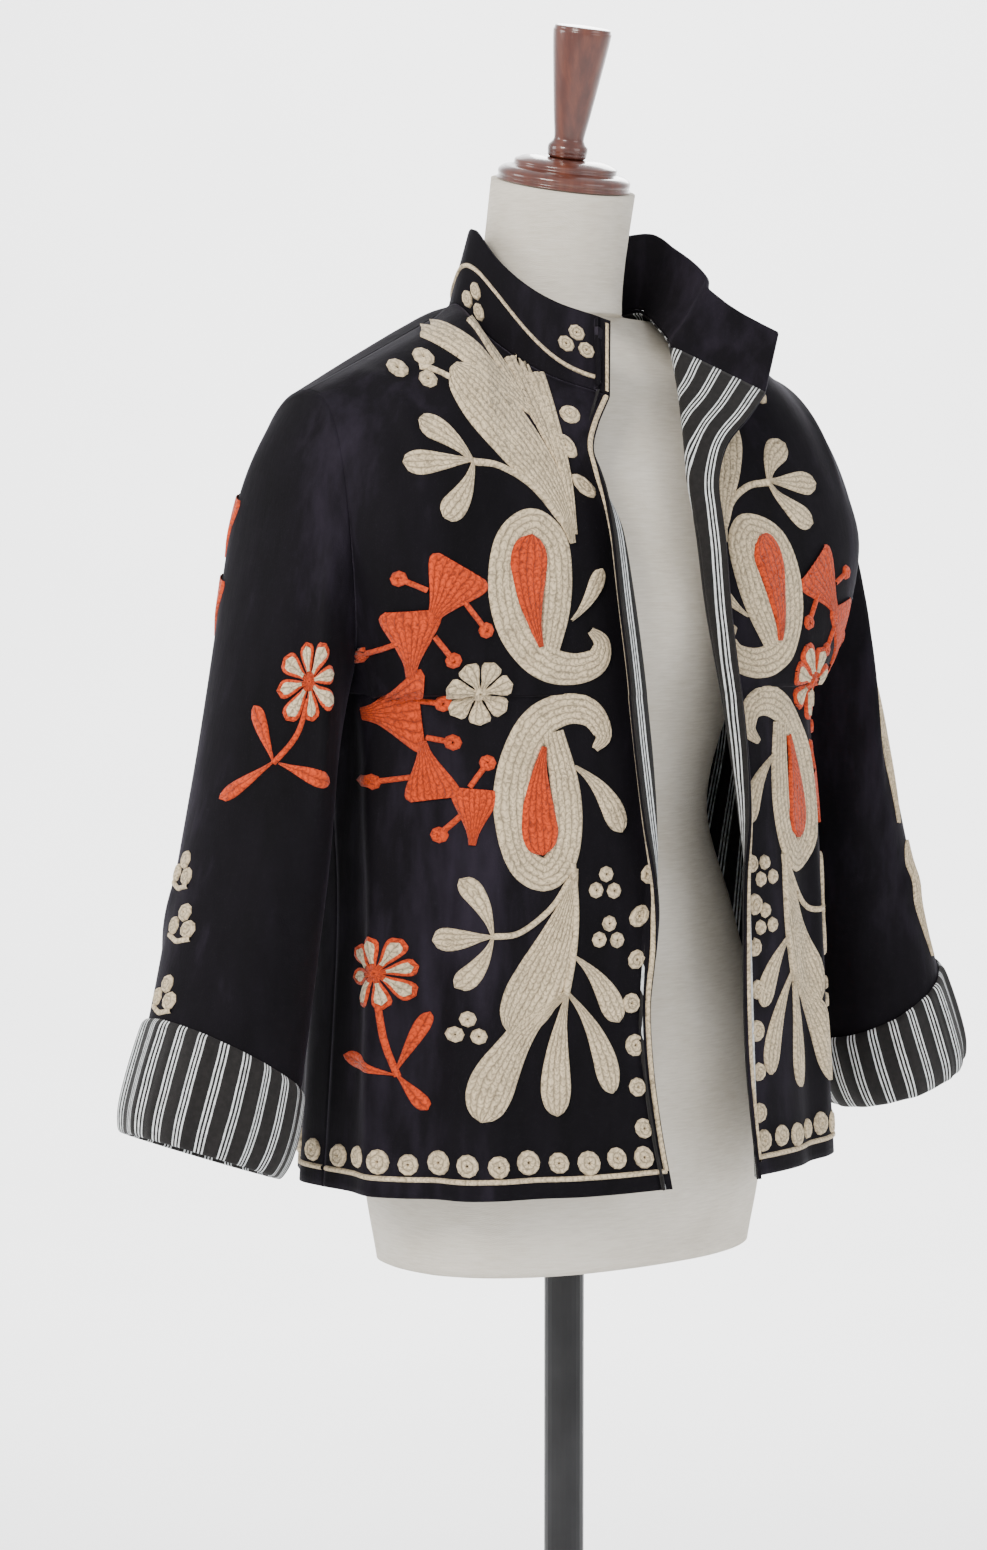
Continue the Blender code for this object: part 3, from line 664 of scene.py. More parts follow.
def flat_map(grid):
    """How far each point lies across and down its piece, as a UV map in metres."""
    return np.stack([lengths(grid, 1), lengths(grid, 0)], axis=-1)


def gaps_over(tree, grid, normals):
    """How far each point of a garment grid stands off the form, below zero where it is inside it."""
    gaps = []
    for point, normal in zip(grid.reshape(-1, 3), normals.reshape(-1, 3)):
        nearest, _, _, gap = tree.find_nearest(Vector(point))
        inside = gap < MOST_RISE and (Vector(point) - nearest).dot(Vector(normal)) < -0.8 * gap
        gaps.append(-gap if inside else gap)
    return np.array(gaps).reshape(grid.shape[:2])


def creased(grid, normals, creases, gaps):
    """Press soft troughs and ridges into a grid, each between two places given as shares of its sides."""
    rows, cols = grid.shape[:2]
    v, u = np.meshgrid(np.linspace(0, 1, rows), np.linspace(0, 1, cols), indexing="ij")
    push = np.zeros((rows, cols))
    for u0, v0, u1, v1, width, depth in creases:
        du, dv = u1 - u0, v1 - v0
        t = np.clip(((u - u0) * du + (v - v0) * dv) / (du * du + dv * dv), 0, 1)
        gap = np.hypot(u - u0 - du * t, v - v0 - dv * t)
        fade = np.sin(np.pi * np.clip(t * 0.94 + 0.03, 0, 1)) ** 0.5
        push += depth * fade * np.exp(-((gap / width) ** 2))
    edge = np.clip(np.minimum(v, 1 - v) * EDGE_FADE, 0, 1)
    push = np.maximum(push * edge, -np.maximum(gaps - WALLS, 0.0))
    push = np.maximum(push, np.clip(LEAST_COVER - gaps, 0.0, MOST_RISE))
    return grid + normals * push[..., None]


def eased_side(grid):
    """The grid with the part near its side seam evened out, so that an inner layer stays inside there."""
    grid = grid.copy()
    first = int(grid.shape[1] * SIDE_SHARE)
    for _ in range(SIDE_PASSES):
        mean = (grid[:-2, 1:-1] + grid[2:, 1:-1] + grid[1:-1, :-2] + grid[1:-1, 2:]) / 4
        grid[1:-1, first:-1] = mean[:, first - 1 :]
    return grid


def new_object(name, bm, materials):
    """A smooth piece of the part from a finished mesh."""
    for face in bm.faces:
        face.smooth = True
    mesh = bpy.data.meshes.new(name)
    bm.to_mesh(mesh)
    bm.free()
    for material in materials:
        mesh.materials.append(bpy.data.materials[material])
    obj = bpy.data.objects.new(name, mesh)
    bpy.data.collections[COLLECTION].objects.link(obj)
    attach(obj, "root")
    return obj


def sheet_object(name, grid, uv, thickness, material, around=False):
    """A cloth piece on the points of its outside, with flat sizes as its UV map, thickened inwards."""
    if around:
        grid = closed_round(grid)
    rows, cols = grid.shape[:2]
    bm = bmesh.new()
    bmesh.ops.create_grid(bm, x_segments=cols - 1, y_segments=rows - 1, size=1.0)
    layer = bm.loops.layers.uv.new("flat")
    place = {}
    for vert in bm.verts:
        i = round((vert.co.x + 1) / 2 * (cols - 1))
        j = round((vert.co.y + 1) / 2 * (rows - 1))
        place[vert] = (j, i)
    for face in bm.faces:
        for loop in face.loops:
            loop[layer].uv = uv[place[loop.vert]]
    for vert, (j, i) in place.items():
        vert.co = grid[j, i]
    if around:
        bmesh.ops.remove_doubles(bm, verts=bm.verts, dist=1e-6)
    bm.normal_update()
    if outward_share(bm) < 0:
        bmesh.ops.reverse_faces(bm, faces=bm.faces)
    obj = new_object(name, bm, [material])
    if thickness:
        wall = obj.modifiers.new("wall", "SOLIDIFY")
        wall.thickness = thickness
        wall.offset = -1.0
        wall.use_even_offset = False
    return obj


def outward_share(bm):
    """Above zero when most of the faces look away from the upright line through the shoulders."""
    total = 0.0
    for face in bm.faces:
        centre = face.calc_center_median()
        out = Vector((centre.x, centre.y - RIDGE_Y, 0.0))
        total += face.normal.dot(out) * face.calc_area()
    return total


def tube_normals(grid):
    """Unit normals of a tube, turned away from its own middle."""
    normals = grid_normals(grid, UPWARD, True)
    facing = np.sum((grid - grid.mean(axis=1, keepdims=True)) * normals)
    return normals if facing > 0 else -normals


def path_points(points, step):
    """Samples along a smooth path of (a, b, half width) rows, about a step apart."""
    table = np.array(points, float)
    if len(table) == 2:
        table = np.array([table[0], (table[0] + table[1]) / 2, table[1]])
    dense = spline(table, 24 * (len(table) - 1) + 1)
    run = np.concatenate([[0.0], np.cumsum(np.hypot(*np.diff(dense[:, :2], axis=0).T))])
    count = max(int(run[-1] / step), 6) + 1
    at = np.linspace(0, run[-1], count)
    return np.stack([np.interp(at, run, dense[:, k]) for k in range(3)], axis=-1), at


class Needlework:
    """Worked strips of wool gathered into one piece."""

    def __init__(self):
        self.bm = bmesh.new()
        self.layer = self.bm.loops.layers.uv.new("flat")

    def strip(self, place, points, rows, height=STITCH_HEIGHT, lift=0.0, wool=CREAM, closed=False):
        """Rows of chain stitch side by side along a path, raised and rounded, laid by place(a, b)."""
        path, at = path_points(points, STITCH_STEP)
        if closed:
            path[-1] = path[0]
        across = max(3 * rows, 4)
        ahead = np.gradient(path[:, :2], axis=0)
        if closed:
            ahead[0] = ahead[-1] = path[1, :2] - path[-2, :2]
        ahead /= np.maximum(np.hypot(ahead[:, 0], ahead[:, 1]), 1e-9)[:, None]
        left = np.stack([-ahead[:, 1], ahead[:, 0]], axis=-1)
        steps = len(path) - 1
        made = bmesh.ops.create_grid(self.bm, x_segments=across, y_segments=steps, size=1.0)["verts"]
        where = {}
        for vert in made:
            i = round((vert.co.x + 1) / 2 * across)
            j = round((vert.co.y + 1) / 2 * steps)
            t = 2 * i / across - 1
            spot = path[j, :2] + left[j] * t * max(path[j, 2], LEAST_HALF)
            point, normal = place(spot[0], spot[1])
            full = max(1 - abs(t) ** 6, 0.0) ** 0.5
            lobe = abs(math.sin(math.pi * rows * (t + 1) / 2))
            tall = height * full * (0.72 + 0.28 * lobe) + lift
            vert.co = point + normal * (tall - SINK * (abs(t) > 0.999))
            where[vert] = (at[j], rows * (t + 1) / 2)
        for vert in made:
            for loop in vert.link_loops:
                loop[self.layer].uv = where[vert]
        for face in {face for vert in made for face in vert.link_faces}:
            face.material_index = wool

    def dot(self, place, centre, radius, rows=2, height=STITCH_HEIGHT, lift=0.0, wool=CREAM):
        """A round dot."""
        self.strip(place, ring(centre, radius), rows, height, lift, wool, True)

    def sprig(self, place, plan):
        """A flower of outlined petals on a stem with leaves, measured from the flower's middle."""
        reach = plan["petal"]
        for k in range(PETALS):
            angle = 2 * math.pi * (k + 0.3) / PETALS
            long = reach * (1.12 if k % 2 else 1.0)
            half = long * 0.28
            c, s = math.cos(angle), math.sin(angle)
            petal = leaf((2 * c, 2 * s), ((long + 2) * c, (long + 2) * s), half, 0.0, 0.25)
            core = leaf((7 * c, 7 * s), ((long - 1) * c, (long - 1) * s), half - 2.1, 0.0, 0.3)
            self.strip(place, petal, 3, PETAL_HEIGHT, 0.0, ORANGE)
            self.strip(place, core, 2, PETAL_CORE_HEIGHT, PETAL_CORE_LIFT, CREAM)
        self.dot(place, (0, 0), 3.4, 1, PETAL_HEIGHT, SPRIG_EYE_LIFT, ORANGE)
        self.strip(place, plan["stem"], 1, SPRIG_HEIGHT, 0.0, ORANGE)
        for start, end, half in plan["leaves"]:
            self.strip(place, leaf(start, end, half), 2, SPRIG_HEIGHT, 0.0, ORANGE)

    def piece(self, name):
        """The finished piece of all the strips so far."""
        return new_object("embroidery_" + name, self.bm, WOOLS)


# How far along a leaf or patch, and the share of its half width there
LEAF_PROFILE = (
    (0.2, 0.34), (0.42, 0.66), (0.64, 0.93), (0.80, 1.0), (0.92, 0.78), (0.985, 0.36), (1.0, 0.05),
)
WEDGE_PROFILE = (
    (-0.14, 0.16), (0.1, 0.26), (0.35, 0.48), (0.6, 0.74), (0.85, 0.98), (1.02, 1.04), (1.12, 0.86),
)
WEDGE_SPREAD = 1.12

# A dot: where its yarn's middle runs, the yarn's half width, both as shares of the radius, and its steps
RING_MIDDLE = 0.52
RING_HALF = 0.5
RING_STEPS = 12


def leaf(start, end, half, bend=0.0, neck=0.12):
    """Path rows of a teardrop leaf from its stem to its round end."""
    (a0, b0), (a1, b1) = start, end
    side = (-(b1 - b0) * bend, (a1 - a0) * bend)
    rows = []
    for t, w in ((0.0, neck), *LEAF_PROFILE):
        bow = 4 * t * (1 - t)
        rows.append((a0 + (a1 - a0) * t + side[0] * bow, b0 + (b1 - b0) * t + side[1] * bow, half * w))
    return rows


def ring(centre, radius):
    """Path rows of a dot, worked round and round."""
    rows = []
    for k in range(RING_STEPS + 1):
        a = 2 * math.pi * k / RING_STEPS
        x = centre[0] + radius * RING_MIDDLE * math.cos(a)
        y = centre[1] + radius * RING_MIDDLE * math.sin(a)
        rows.append((x, y, radius * RING_HALF))
    return rows


def wedge(apex, b, c):
    """Path rows of a three-cornered patch from its point to its wide side."""
    mid = ((b[0] + c[0]) / 2, (b[1] + c[1]) / 2)
    half = math.hypot(b[0] - c[0], b[1] - c[1]) / 2 * WEDGE_SPREAD
    rows = []
    for t, w in WEDGE_PROFILE:
        rows.append((apex[0] + (mid[0] - apex[0]) * t, apex[1] + (mid[1] - apex[1]) * t, half * w))
    return rows


def on_surface(tree, azimuth):
    """place(a, b) for cloth seen square on from an azimuth: a is across and b the height, in millimetres."""
    a = math.radians(azimuth)
    back = Vector((math.sin(a), -math.cos(a), 0.0))
    right = Vector((math.cos(a), math.sin(a), 0.0))

    def place(p, z):
        level = right * p / 1000 + Vector((0, 0, z / 1000))
        spot, normal, _, _ = tree.ray_cast(level + back * RAY_START, -back)
        if spot is None:
            spot, normal, _, _ = tree.find_nearest(level + back * RAY_FALLBACK)
        if normal.dot(back) < 0:
            normal = -normal
        return np.array(spot), np.array(normal)

    return place


def surface_tree(grid):
    """The surface of a grid, for rays and nearest points."""
    rows, cols = grid.shape[:2]
    points = [Vector(p) for p in grid.reshape(-1, 3)]
    faces = []
    for j in range(rows - 1):
        for i in range(j * cols, (j + 1) * cols - 1):
            faces.append((i, i + 1, i + cols + 1, i + cols))
    return BVHTree.FromPolygons(points, faces)


def sampler(grid, normals):
    """Points and normals of a fine grid at fractional rows and columns."""
    rows, cols = grid.shape[:2]

    def at(r, c):
        r = min(max(r, 0.0), rows - 1.001)
        c = min(max(c, 0.0), cols - 1.001)
        j, i = int(r), int(c)
        f, g = r - j, c - i
        mix = []
        for values in (grid, normals):
            top = values[j, i] * (1 - g) + values[j, i + 1] * g
            low = values[j + 1, i] * (1 - g) + values[j + 1, i + 1] * g
            mix.append(top * (1 - f) + low * f)
        return mix[0], mix[1] / max(np.linalg.norm(mix[1]), 1e-9)

    return at


def along_sheet(grid, normals, spot, turn):
    """place(a, b) on cloth, from its point nearest a spot, in millimetres.

    a runs along its rows, towards later columns where turn is above zero, and b is the height.
    """
    at = sampler(grid, normals)
    gaps = np.linalg.norm(grid - spot, axis=-1)
    row, column = np.unravel_index(np.argmin(gaps), gaps.shape)
    runs = lengths(grid, 1) * 1000
    heights = grid[::-1, :, 2] * 1000
    rows, columns = np.arange(grid.shape[0]), np.arange(grid.shape[1])
    start = grid[row, column, 2] * 1000

    def row_of(c, height):
        i = min(int(c), grid.shape[1] - 2)
        column_heights = heights[:, i] * (1 - c + i) + heights[:, i + 1] * (c - i)
        return rows[-1] - float(np.interp(height, column_heights, rows))

    def place(a, b):
        run = runs[int(round(row_of(column, start + b)))]
        c = float(np.interp(run[column] + turn * a, run, columns))
        return at(row_of(c, start + b), c)

    return place


def along_hem(grid, normals):
    """place(a, b) in millimetres: a is along the hem from the first column, b the height above it."""
    at = sampler(grid, normals)
    run = lengths(grid, 1)[-1] * 1000
    columns = np.arange(grid.shape[1])
    up = lengths(grid[::-1], 0) * 1000

    def place(a, b):
        c = float(np.interp(a, run, columns))
        column = up[:, min(int(round(c)), grid.shape[1] - 1)]
        r = grid.shape[0] - 1 - float(np.interp(b, column, np.arange(grid.shape[0])))
        return at(r, c)

    return place, run[-1]


def along_edge(grid, normals):
    """place(a, b) in millimetres: a is up the front edge from the hem, b in from that edge."""
    at = sampler(grid, normals)
    up = lengths(grid[::-1], 0)[:, 0] * 1000
    inwards = lengths(grid, 1) * 1000
    rows = np.arange(grid.shape[0])

    def place(a, b):
        r = grid.shape[0] - 1 - float(np.interp(a, up, rows))
        c = float(np.interp(b, inwards[min(int(round(r)), grid.shape[0] - 1)], np.arange(grid.shape[1])))
        return at(r, c)

    return place, up[-1]


def new_material(name):
    """The node tree and the shader of a new material."""
    material = bpy.data.materials.new(name)
    material.use_nodes = True
    return material.node_tree, material.node_tree.nodes["Principled BSDF"]


def feed(tree, socket, value):
    """Link a socket to another one, or give it a value."""
    if isinstance(value, bpy.types.NodeSocket):
        tree.links.new(value, socket)
    elif isinstance(value, tuple):
        socket.default_value = (*value, 1.0)
    else:
        socket.default_value = value


def add(tree, kind, **values):
    """A new node with the values of its inputs and settings."""
    node = tree.nodes.new(kind)
    for key, value in values.items():
        if key in node.inputs:
            node.inputs[key].default_value = value
        else:
            setattr(node, key, value)
    return node


def maths(tree, operation, a, b=0.0, c=0.0):
    """The outcome of one sum on sockets or numbers."""
    node = tree.nodes.new("ShaderNodeMath")
    node.operation = operation
    for socket, value in zip(node.inputs, (a, b, c)):
        feed(tree, socket, value)
    return node.outputs[0]


def ramp(tree, value, stops):
    """A colour between stops of (place, colour)."""
    node = tree.nodes.new("ShaderNodeValToRGB")
    tree.links.new(value, node.inputs[0])
    band = node.color_ramp
    while len(band.elements) < len(stops):
        band.elements.new(0.5)
    for element, (at, colour) in zip(band.elements, stops):
        element.position = at
        element.color = (*colour, 1.0)
    return node.outputs[0]


def object_noise(tree, scale, detail=3.0, stretch=(1, 1, 1), roughness=0.5):
    """Noise laid on the piece's own coordinates."""
    coords = tree.nodes.new("ShaderNodeTexCoord")
    mapping = tree.nodes.new("ShaderNodeMapping")
    mapping.inputs["Scale"].default_value = stretch
    tree.links.new(coords.outputs["Object"], mapping.inputs[0])
    noise = add(tree, "ShaderNodeTexNoise", Scale=scale, Detail=detail, Roughness=roughness)
    tree.links.new(mapping.outputs[0], noise.inputs["Vector"])
    return noise.outputs["Fac"]


def mixed(tree, factor, first, second):
    """A blend of two colours."""
    node = tree.nodes.new("ShaderNodeMix")
    node.data_type = "RGBA"
    sockets = [socket for socket in node.inputs if socket.enabled]
    for socket, value in zip(sockets, (factor, first, second)):
        feed(tree, socket, value)
    return [socket for socket in node.outputs if socket.enabled][0]


def bumped(tree, shader, height, strength, distance):
    """Give a shader fine relief."""
    bump = add(tree, "ShaderNodeBump", Strength=strength, Distance=distance)
    tree.links.new(height, bump.inputs["Height"])
    tree.links.new(bump.outputs[0], shader.inputs["Normal"])


def flat_axes(tree):
    """The two directions of a piece's own UV map."""
    uv = add(tree, "ShaderNodeUVMap", uv_map="flat")
    split = tree.nodes.new("ShaderNodeSeparateXYZ")
    tree.links.new(uv.outputs[0], split.inputs[0])
    return split.outputs[0], split.outputs[1]


def shaded(colour, factor):
    """A colour made darker or lighter."""
    return tuple(min(channel * factor, 1.0) for channel in colour)


def velvet_material(settings):
    """Dark velvet: a short pile whose colour varies at random in patches and streaks, with painted sheen
    where they lighten it.
    """
    tree, shader = new_material("pile_velvet")
    sheen_patches = object_noise(tree, 9.0, 3.0, (1.0, 1.0, 0.45), 0.55)
    fine = object_noise(tree, 900.0, 2.0)
    streak = object_noise(tree, 60.0, 3.0, (1.0, 1.0, 0.25), 0.6)
    tone = maths(tree, "MULTIPLY_ADD", streak, 0.35, maths(tree, "MULTIPLY", sheen_patches, 0.75))
    pile = settings.velvet
    # Painted sheen: where the patches and streaks run high the colour is lightened to 4.2 times the velvet's
    # own
    stops = ((0.40, shaded(pile, 0.45)), (0.58, shaded(pile, 1.0)), (0.76, shaded(pile, 4.2)))
    colour = ramp(tree, tone, stops)
    tree.links.new(colour, shader.inputs["Base Color"])
    shader.inputs["Roughness"].default_value = 0.82
    shader.inputs["Specular IOR Level"].default_value = 0.12
    shader.inputs["Sheen Weight"].default_value = 0.085
    shader.inputs["Sheen Roughness"].default_value = 0.30
    shader.inputs["Sheen Tint"].default_value = (0.55, 0.48, 0.66, 1.0)
    height = maths(tree, "MULTIPLY_ADD", fine, 0.5, maths(tree, "MULTIPLY", streak, 1.6))
    bumped(tree, shader, height, strength=0.35, distance=0.0012)


def wool_material(name, yarn):
    """Thick wool in wandering rows of chain stitch. UV x is millimetres along a row, UV y counts rows."""
    tree, shader = new_material(name)
    along, rows = flat_axes(tree)
    sway = maths(tree, "SUBTRACT", object_noise(tree, 130.0, 2.0), 0.5)
    drift = maths(tree, "SUBTRACT", object_noise(tree, 210.0, 1.0), 0.5)
    across = maths(tree, "MULTIPLY_ADD", sway, 0.75, rows)
    place = maths(tree, "FRACT", across)
    from_middle = maths(tree, "ABSOLUTE", maths(tree, "SUBTRACT", place, 0.5))
    drift = maths(tree, "MULTIPLY", drift, 2.2)
    phase = maths(tree, "MULTIPLY_ADD", maths(tree, "FLOOR", across), 0.37, drift)
    slant = maths(tree, "MULTIPLY_ADD", from_middle, 0.95, phase)
    chain = maths(tree, "MULTIPLY_ADD", along, 1 / STITCH_LENGTH, slant)
    link = maths(tree, "FRACT", chain)
    rib = maths(tree, "SINE", maths(tree, "MULTIPLY", link, math.pi))
    row = maths(tree, "SINE", maths(tree, "MULTIPLY", place, math.pi))
    strand = maths(tree, "ABSOLUTE", maths(tree, "SINE", maths(tree, "MULTIPLY", place, 2 * math.pi)))
    fibres = object_noise(tree, 1500.0, 2.0)
    tufts = object_noise(tree, 480.0, 3.0)
    patches = object_noise(tree, 55.0, 3.0)
    height = maths(tree, "MULTIPLY", maths(tree, "POWER", row, 0.5), 0.8)
    for part, share in ((maths(tree, "POWER", rib, 0.6), 0.6), (strand, 0.3), (tufts, 0.9), (fibres, 0.4)):
        height = maths(tree, "MULTIPLY_ADD", part, share, height)
    # Painted shade: the colour falls to 0.3 of the yarn's in the grooves between rows and between chain links
    shade = maths(tree, "MULTIPLY", maths(tree, "POWER", rib, 0.32), maths(tree, "POWER", row, 0.34))
    fuzz = maths(tree, "MULTIPLY_ADD", patches, 0.45, maths(tree, "MULTIPLY", tufts, 0.55))
    base = ramp(tree, fuzz, ((0.30, yarn), (0.66, shaded(yarn, 1.5))))
    tone = mixed(tree, shade, shaded(yarn, 0.30), base)
    flecks = maths(tree, "GREATER_THAN", object_noise(tree, 420.0, 2.0), 0.60)
    colour = mixed(tree, maths(tree, "MULTIPLY", flecks, 0.42), tone, shaded(yarn, 0.36))
    tree.links.new(colour, shader.inputs["Base Color"])
    shader.inputs["Roughness"].default_value = 0.88
    shader.inputs["Specular IOR Level"].default_value = 0.2
    shader.inputs["Sheen Weight"].default_value = 0.15
    bumped(tree, shader, height, strength=0.7, distance=0.0010)


def stripe_material(settings):
    """Dark lining with groups of three pale lines along it. UV x is across the stripes, in metres."""
    tree, shader = new_material("woven_stripe")
    across, along = flat_axes(tree)
    wobble = maths(tree, "MULTIPLY", maths(tree, "SUBTRACT", object_noise(tree, 40.0, 2.0), 0.5), 0.0009)
    repeats = maths(tree, "DIVIDE", maths(tree, "ADD", across, wobble), STRIPE_PITCH)
    period = maths(tree, "MULTIPLY", maths(tree, "FRACT", repeats), STRIPE_PITCH * 1000)
    lines = 0.0
    for centre in STRIPE_LINES:
        gap = maths(tree, "ABSOLUTE", maths(tree, "SUBTRACT", period, centre))
        lines = maths(tree, "MAXIMUM", lines, maths(tree, "LESS_THAN", gap, STRIPE_HALF))
    weft = maths(tree, "SINE", maths(tree, "MULTIPLY", along, 2 * math.pi / LINING_WEFT))
    warp = maths(tree, "SINE", maths(tree, "MULTIPLY", across, 2 * math.pi / LINING_WARP))
    weave = maths(tree, "MULTIPLY", weft, warp)
    worn = object_noise(tree, 260.0, 3.0)
    pale = ramp(tree, worn, ((0.30, shaded(settings.line, 0.6)), (0.62, tuple(settings.line))))
    dark = ramp(tree, worn, ((0.35, shaded(settings.lining, 0.45)), (0.70, tuple(settings.lining))))
    tree.links.new(mixed(tree, lines, dark, pale), shader.inputs["Base Color"])
    shader.inputs["Roughness"].default_value = 0.78
    shader.inputs["Sheen Weight"].default_value = 0.06
    shader.inputs["Specular IOR Level"].default_value = 0.3
    height = maths(tree, "MULTIPLY_ADD", lines, 0.9, maths(tree, "MULTIPLY", weave, 0.4))
    bumped(tree, shader, height, strength=0.4, distance=0.0004)


def linen_material():
    """Cream linen cover of the form: a plain weave with slubs and soft shades."""
    tree, shader = new_material("woven_linen")
    coords = tree.nodes.new("ShaderNodeTexCoord")
    split = tree.nodes.new("ShaderNodeSeparateXYZ")
    tree.links.new(coords.outputs["Object"], split.inputs[0])
    level = maths(tree, "ADD", split.outputs[0], split.outputs[1])
    warp = maths(tree, "SINE", maths(tree, "MULTIPLY", level, 2 * math.pi / LINEN_THREAD))
    weft = maths(tree, "SINE", maths(tree, "MULTIPLY", split.outputs[2], 2 * math.pi / LINEN_THREAD))
    weave = maths(tree, "MULTIPLY", warp, weft)
    slub = object_noise(tree, 300.0, 3.0, (0.25, 0.25, 2.5), 0.6)
    soft = object_noise(tree, 14.0, 2.0)
    tone = maths(tree, "MULTIPLY_ADD", slub, 0.5, maths(tree, "MULTIPLY", soft, 0.5))
    colour = ramp(tree, tone, ((0.30, (0.60, 0.545, 0.45)), (0.65, (0.79, 0.74, 0.65))))
    tree.links.new(colour, shader.inputs["Base Color"])
    shader.inputs["Roughness"].default_value = 0.92
    shader.inputs["Specular IOR Level"].default_value = 0.15
    height = maths(tree, "MULTIPLY_ADD", slub, 1.2, maths(tree, "MULTIPLY", weave, 0.6))
    bumped(tree, shader, height, strength=0.35, distance=0.0005)


def wood_material():
    """Turned hardwood stained red-brown under a clear gloss."""
    tree, shader = new_material("polished_wood")
    grain = object_noise(tree, 70.0, 5.0, (1.0, 1.0, 0.08), 0.65)
    wide = object_noise(tree, 16.0, 2.0, (1.0, 1.0, 0.2))
    tone = maths(tree, "MULTIPLY_ADD", grain, 0.6, maths(tree, "MULTIPLY", wide, 0.4))
    stops = ((0.34, (0.020, 0.0045, 0.0025)), (0.52, (0.085, 0.018, 0.009)), (0.68, (0.17, 0.045, 0.020)))
    colour = ramp(tree, tone, stops)
    tree.links.new(colour, shader.inputs["Base Color"])
    shader.inputs["Roughness"].default_value = 0.30
    shader.inputs["Coat Weight"].default_value = 0.8
    shader.inputs["Coat Roughness"].default_value = 0.08
    bumped(tree, shader, grain, strength=0.12, distance=0.0004)


def metal_material():
    """Black powder-coated steel of the stand."""
    tree, shader = new_material("coated_steel")
    speck = object_noise(tree, 700.0, 2.0)
    worn = object_noise(tree, 12.0, 3.0)
    colour = ramp(tree, worn, ((0.35, (0.016, 0.016, 0.017)), (0.70, (0.034, 0.034, 0.036))))
    tree.links.new(colour, shader.inputs["Base Color"])
    tree.links.new(maths(tree, "MULTIPLY_ADD", worn, 0.2, 0.34), shader.inputs["Roughness"])
    shader.inputs["Metallic"].default_value = 0.5
    bumped(tree, shader, speck, strength=0.2, distance=0.0003)


def stage_material():
    """Pale studio sweep."""
    tree, shader = new_material("studio_sweep")
    soft = object_noise(tree, 2.0, 2.0)
    colour = ramp(tree, soft, ((0.3, (0.93, 0.93, 0.93)), (0.7, (0.96, 0.96, 0.96))))
    tree.links.new(colour, shader.inputs["Base Color"])
    shader.inputs["Roughness"].default_value = 0.9


def make_materials(settings):
    """Make every material of the scene."""
    velvet_material(settings)
    wool_material("cream_wool", tuple(settings.cream))
    wool_material("orange_wool", tuple(settings.orange))
    stripe_material(settings)
    linen_material()
    wood_material()
    metal_material()
    stage_material()


# Pattern of the right front, seen square on from 20 degrees off its middle, in millimetres: places are
# across and height, and a third number is half a width
FRONT_VIEW = 20
PAISLEYS = (
    # middle of the band, from the hook's tip round to the inner side
    (
        (-27, 1121, 2.5), (-18, 1112, 7.0), (-22, 1099, 10.0), (-41, 1094, 11.5), (-64, 1100, 13.0),
        (-84, 1122, 13.5), (-92, 1152, 13.5), (-88, 1182, 12.5), (-71, 1195, 12.0), (-56, 1184, 12.0),
        (-52, 1160, 11.5), (-54, 1134, 11.0), (-60, 1106, 8.0),
    ),
    (
        (-24, 1037, 2.5), (-17, 1047, 7.0), (-26, 1062, 10.0), (-45, 1066, 11.5), (-66, 1056, 13.0),
        (-81, 1030, 13.5), (-86, 997, 13.5), (-80, 963, 12.5), (-63, 950, 12.0), (-50, 961, 12.0),
        (-45, 986, 11.5), (-47, 1014, 11.0), (-55, 1050, 8.0),
    ),
)
TEARDROPS = (
    # start, end, half width, bend
    ((-66, 1110), (-73, 1188), 14.5, 0.06),
    ((-62, 1040), (-64, 964), 14.0, -0.05),
)
FAN = (
    # the leaves at the neck, along their middles
    ((-56, 1266, 1.5), (-68, 1298, 3.5), (-80, 1326, 4.5), (-88, 1342, 4.5)),
    ((-45, 1238, 1.5), (-50, 1262, 6.0), (-55, 1290, 8.5), (-58, 1314, 9.5)),
    ((-38, 1188, 1.5), (-40, 1225, 4.5), (-44, 1262, 6.5), (-46, 1302, 7.5)),
    ((-58, 1274, 3.0), (-74, 1292, 8.0), (-95, 1313, 10.5), (-118, 1336, 11.5)),
    (
        (-40, 1182, 2.0), (-46, 1204, 7.0), (-58, 1229, 14.0), (-76, 1255, 20.0), (-94, 1280, 22.0),
        (-108, 1298, 15.5), (-114, 1306, 4.0),
    ),
)
LEAVES = (
    # start, end, half width, bend
    # three-lobed leaf of the chest
    ((-112, 1238), (-146, 1268), 9.0, -0.08),
    ((-112, 1240), (-160, 1238), 9.0, 0.0),
    ((-112, 1238), (-136, 1200), 9.5, 0.08),
    # beside the paisleys
    ((-42, 1128), (-17, 1164), 6.5, -0.08),
    ((-40, 1026), (-4, 978), 9.0, 0.10),
    # lower spray
    ((-40, 954), (-90, 840), 20.0, 0.06),
    ((-41, 892), (-8, 844), 9.5, 0.08),
    ((-48, 866), (-110, 778), 17.0, -0.10),
    ((-47, 866), (-55, 780), 11.0, -0.04),
    ((-46, 866), (-14, 794), 9.5, 0.08),
    ((-101, 908), (-121, 948), 8.0, -0.08),
    ((-101, 908), (-138, 904), 8.5, 0.0),
    ((-101, 907), (-125, 872), 8.0, 0.08),
)
STEMS = (
    ((-112, 1239, 3.0), (-92, 1236, 2.6), (-68, 1222, 2.6), (-46, 1196, 2.8)),
    ((-42, 958, 3.2), (-40, 925, 3.2), (-42, 895, 3.2), (-48, 864, 3.2)),
    ((-101, 908, 2.6), (-80, 910, 2.4), (-58, 926, 2.4), (-44, 946, 2.4)),
    ((-118, 1298, 2.2), (-128, 1304, 2.2), (-136, 1306, 2.2)),
)
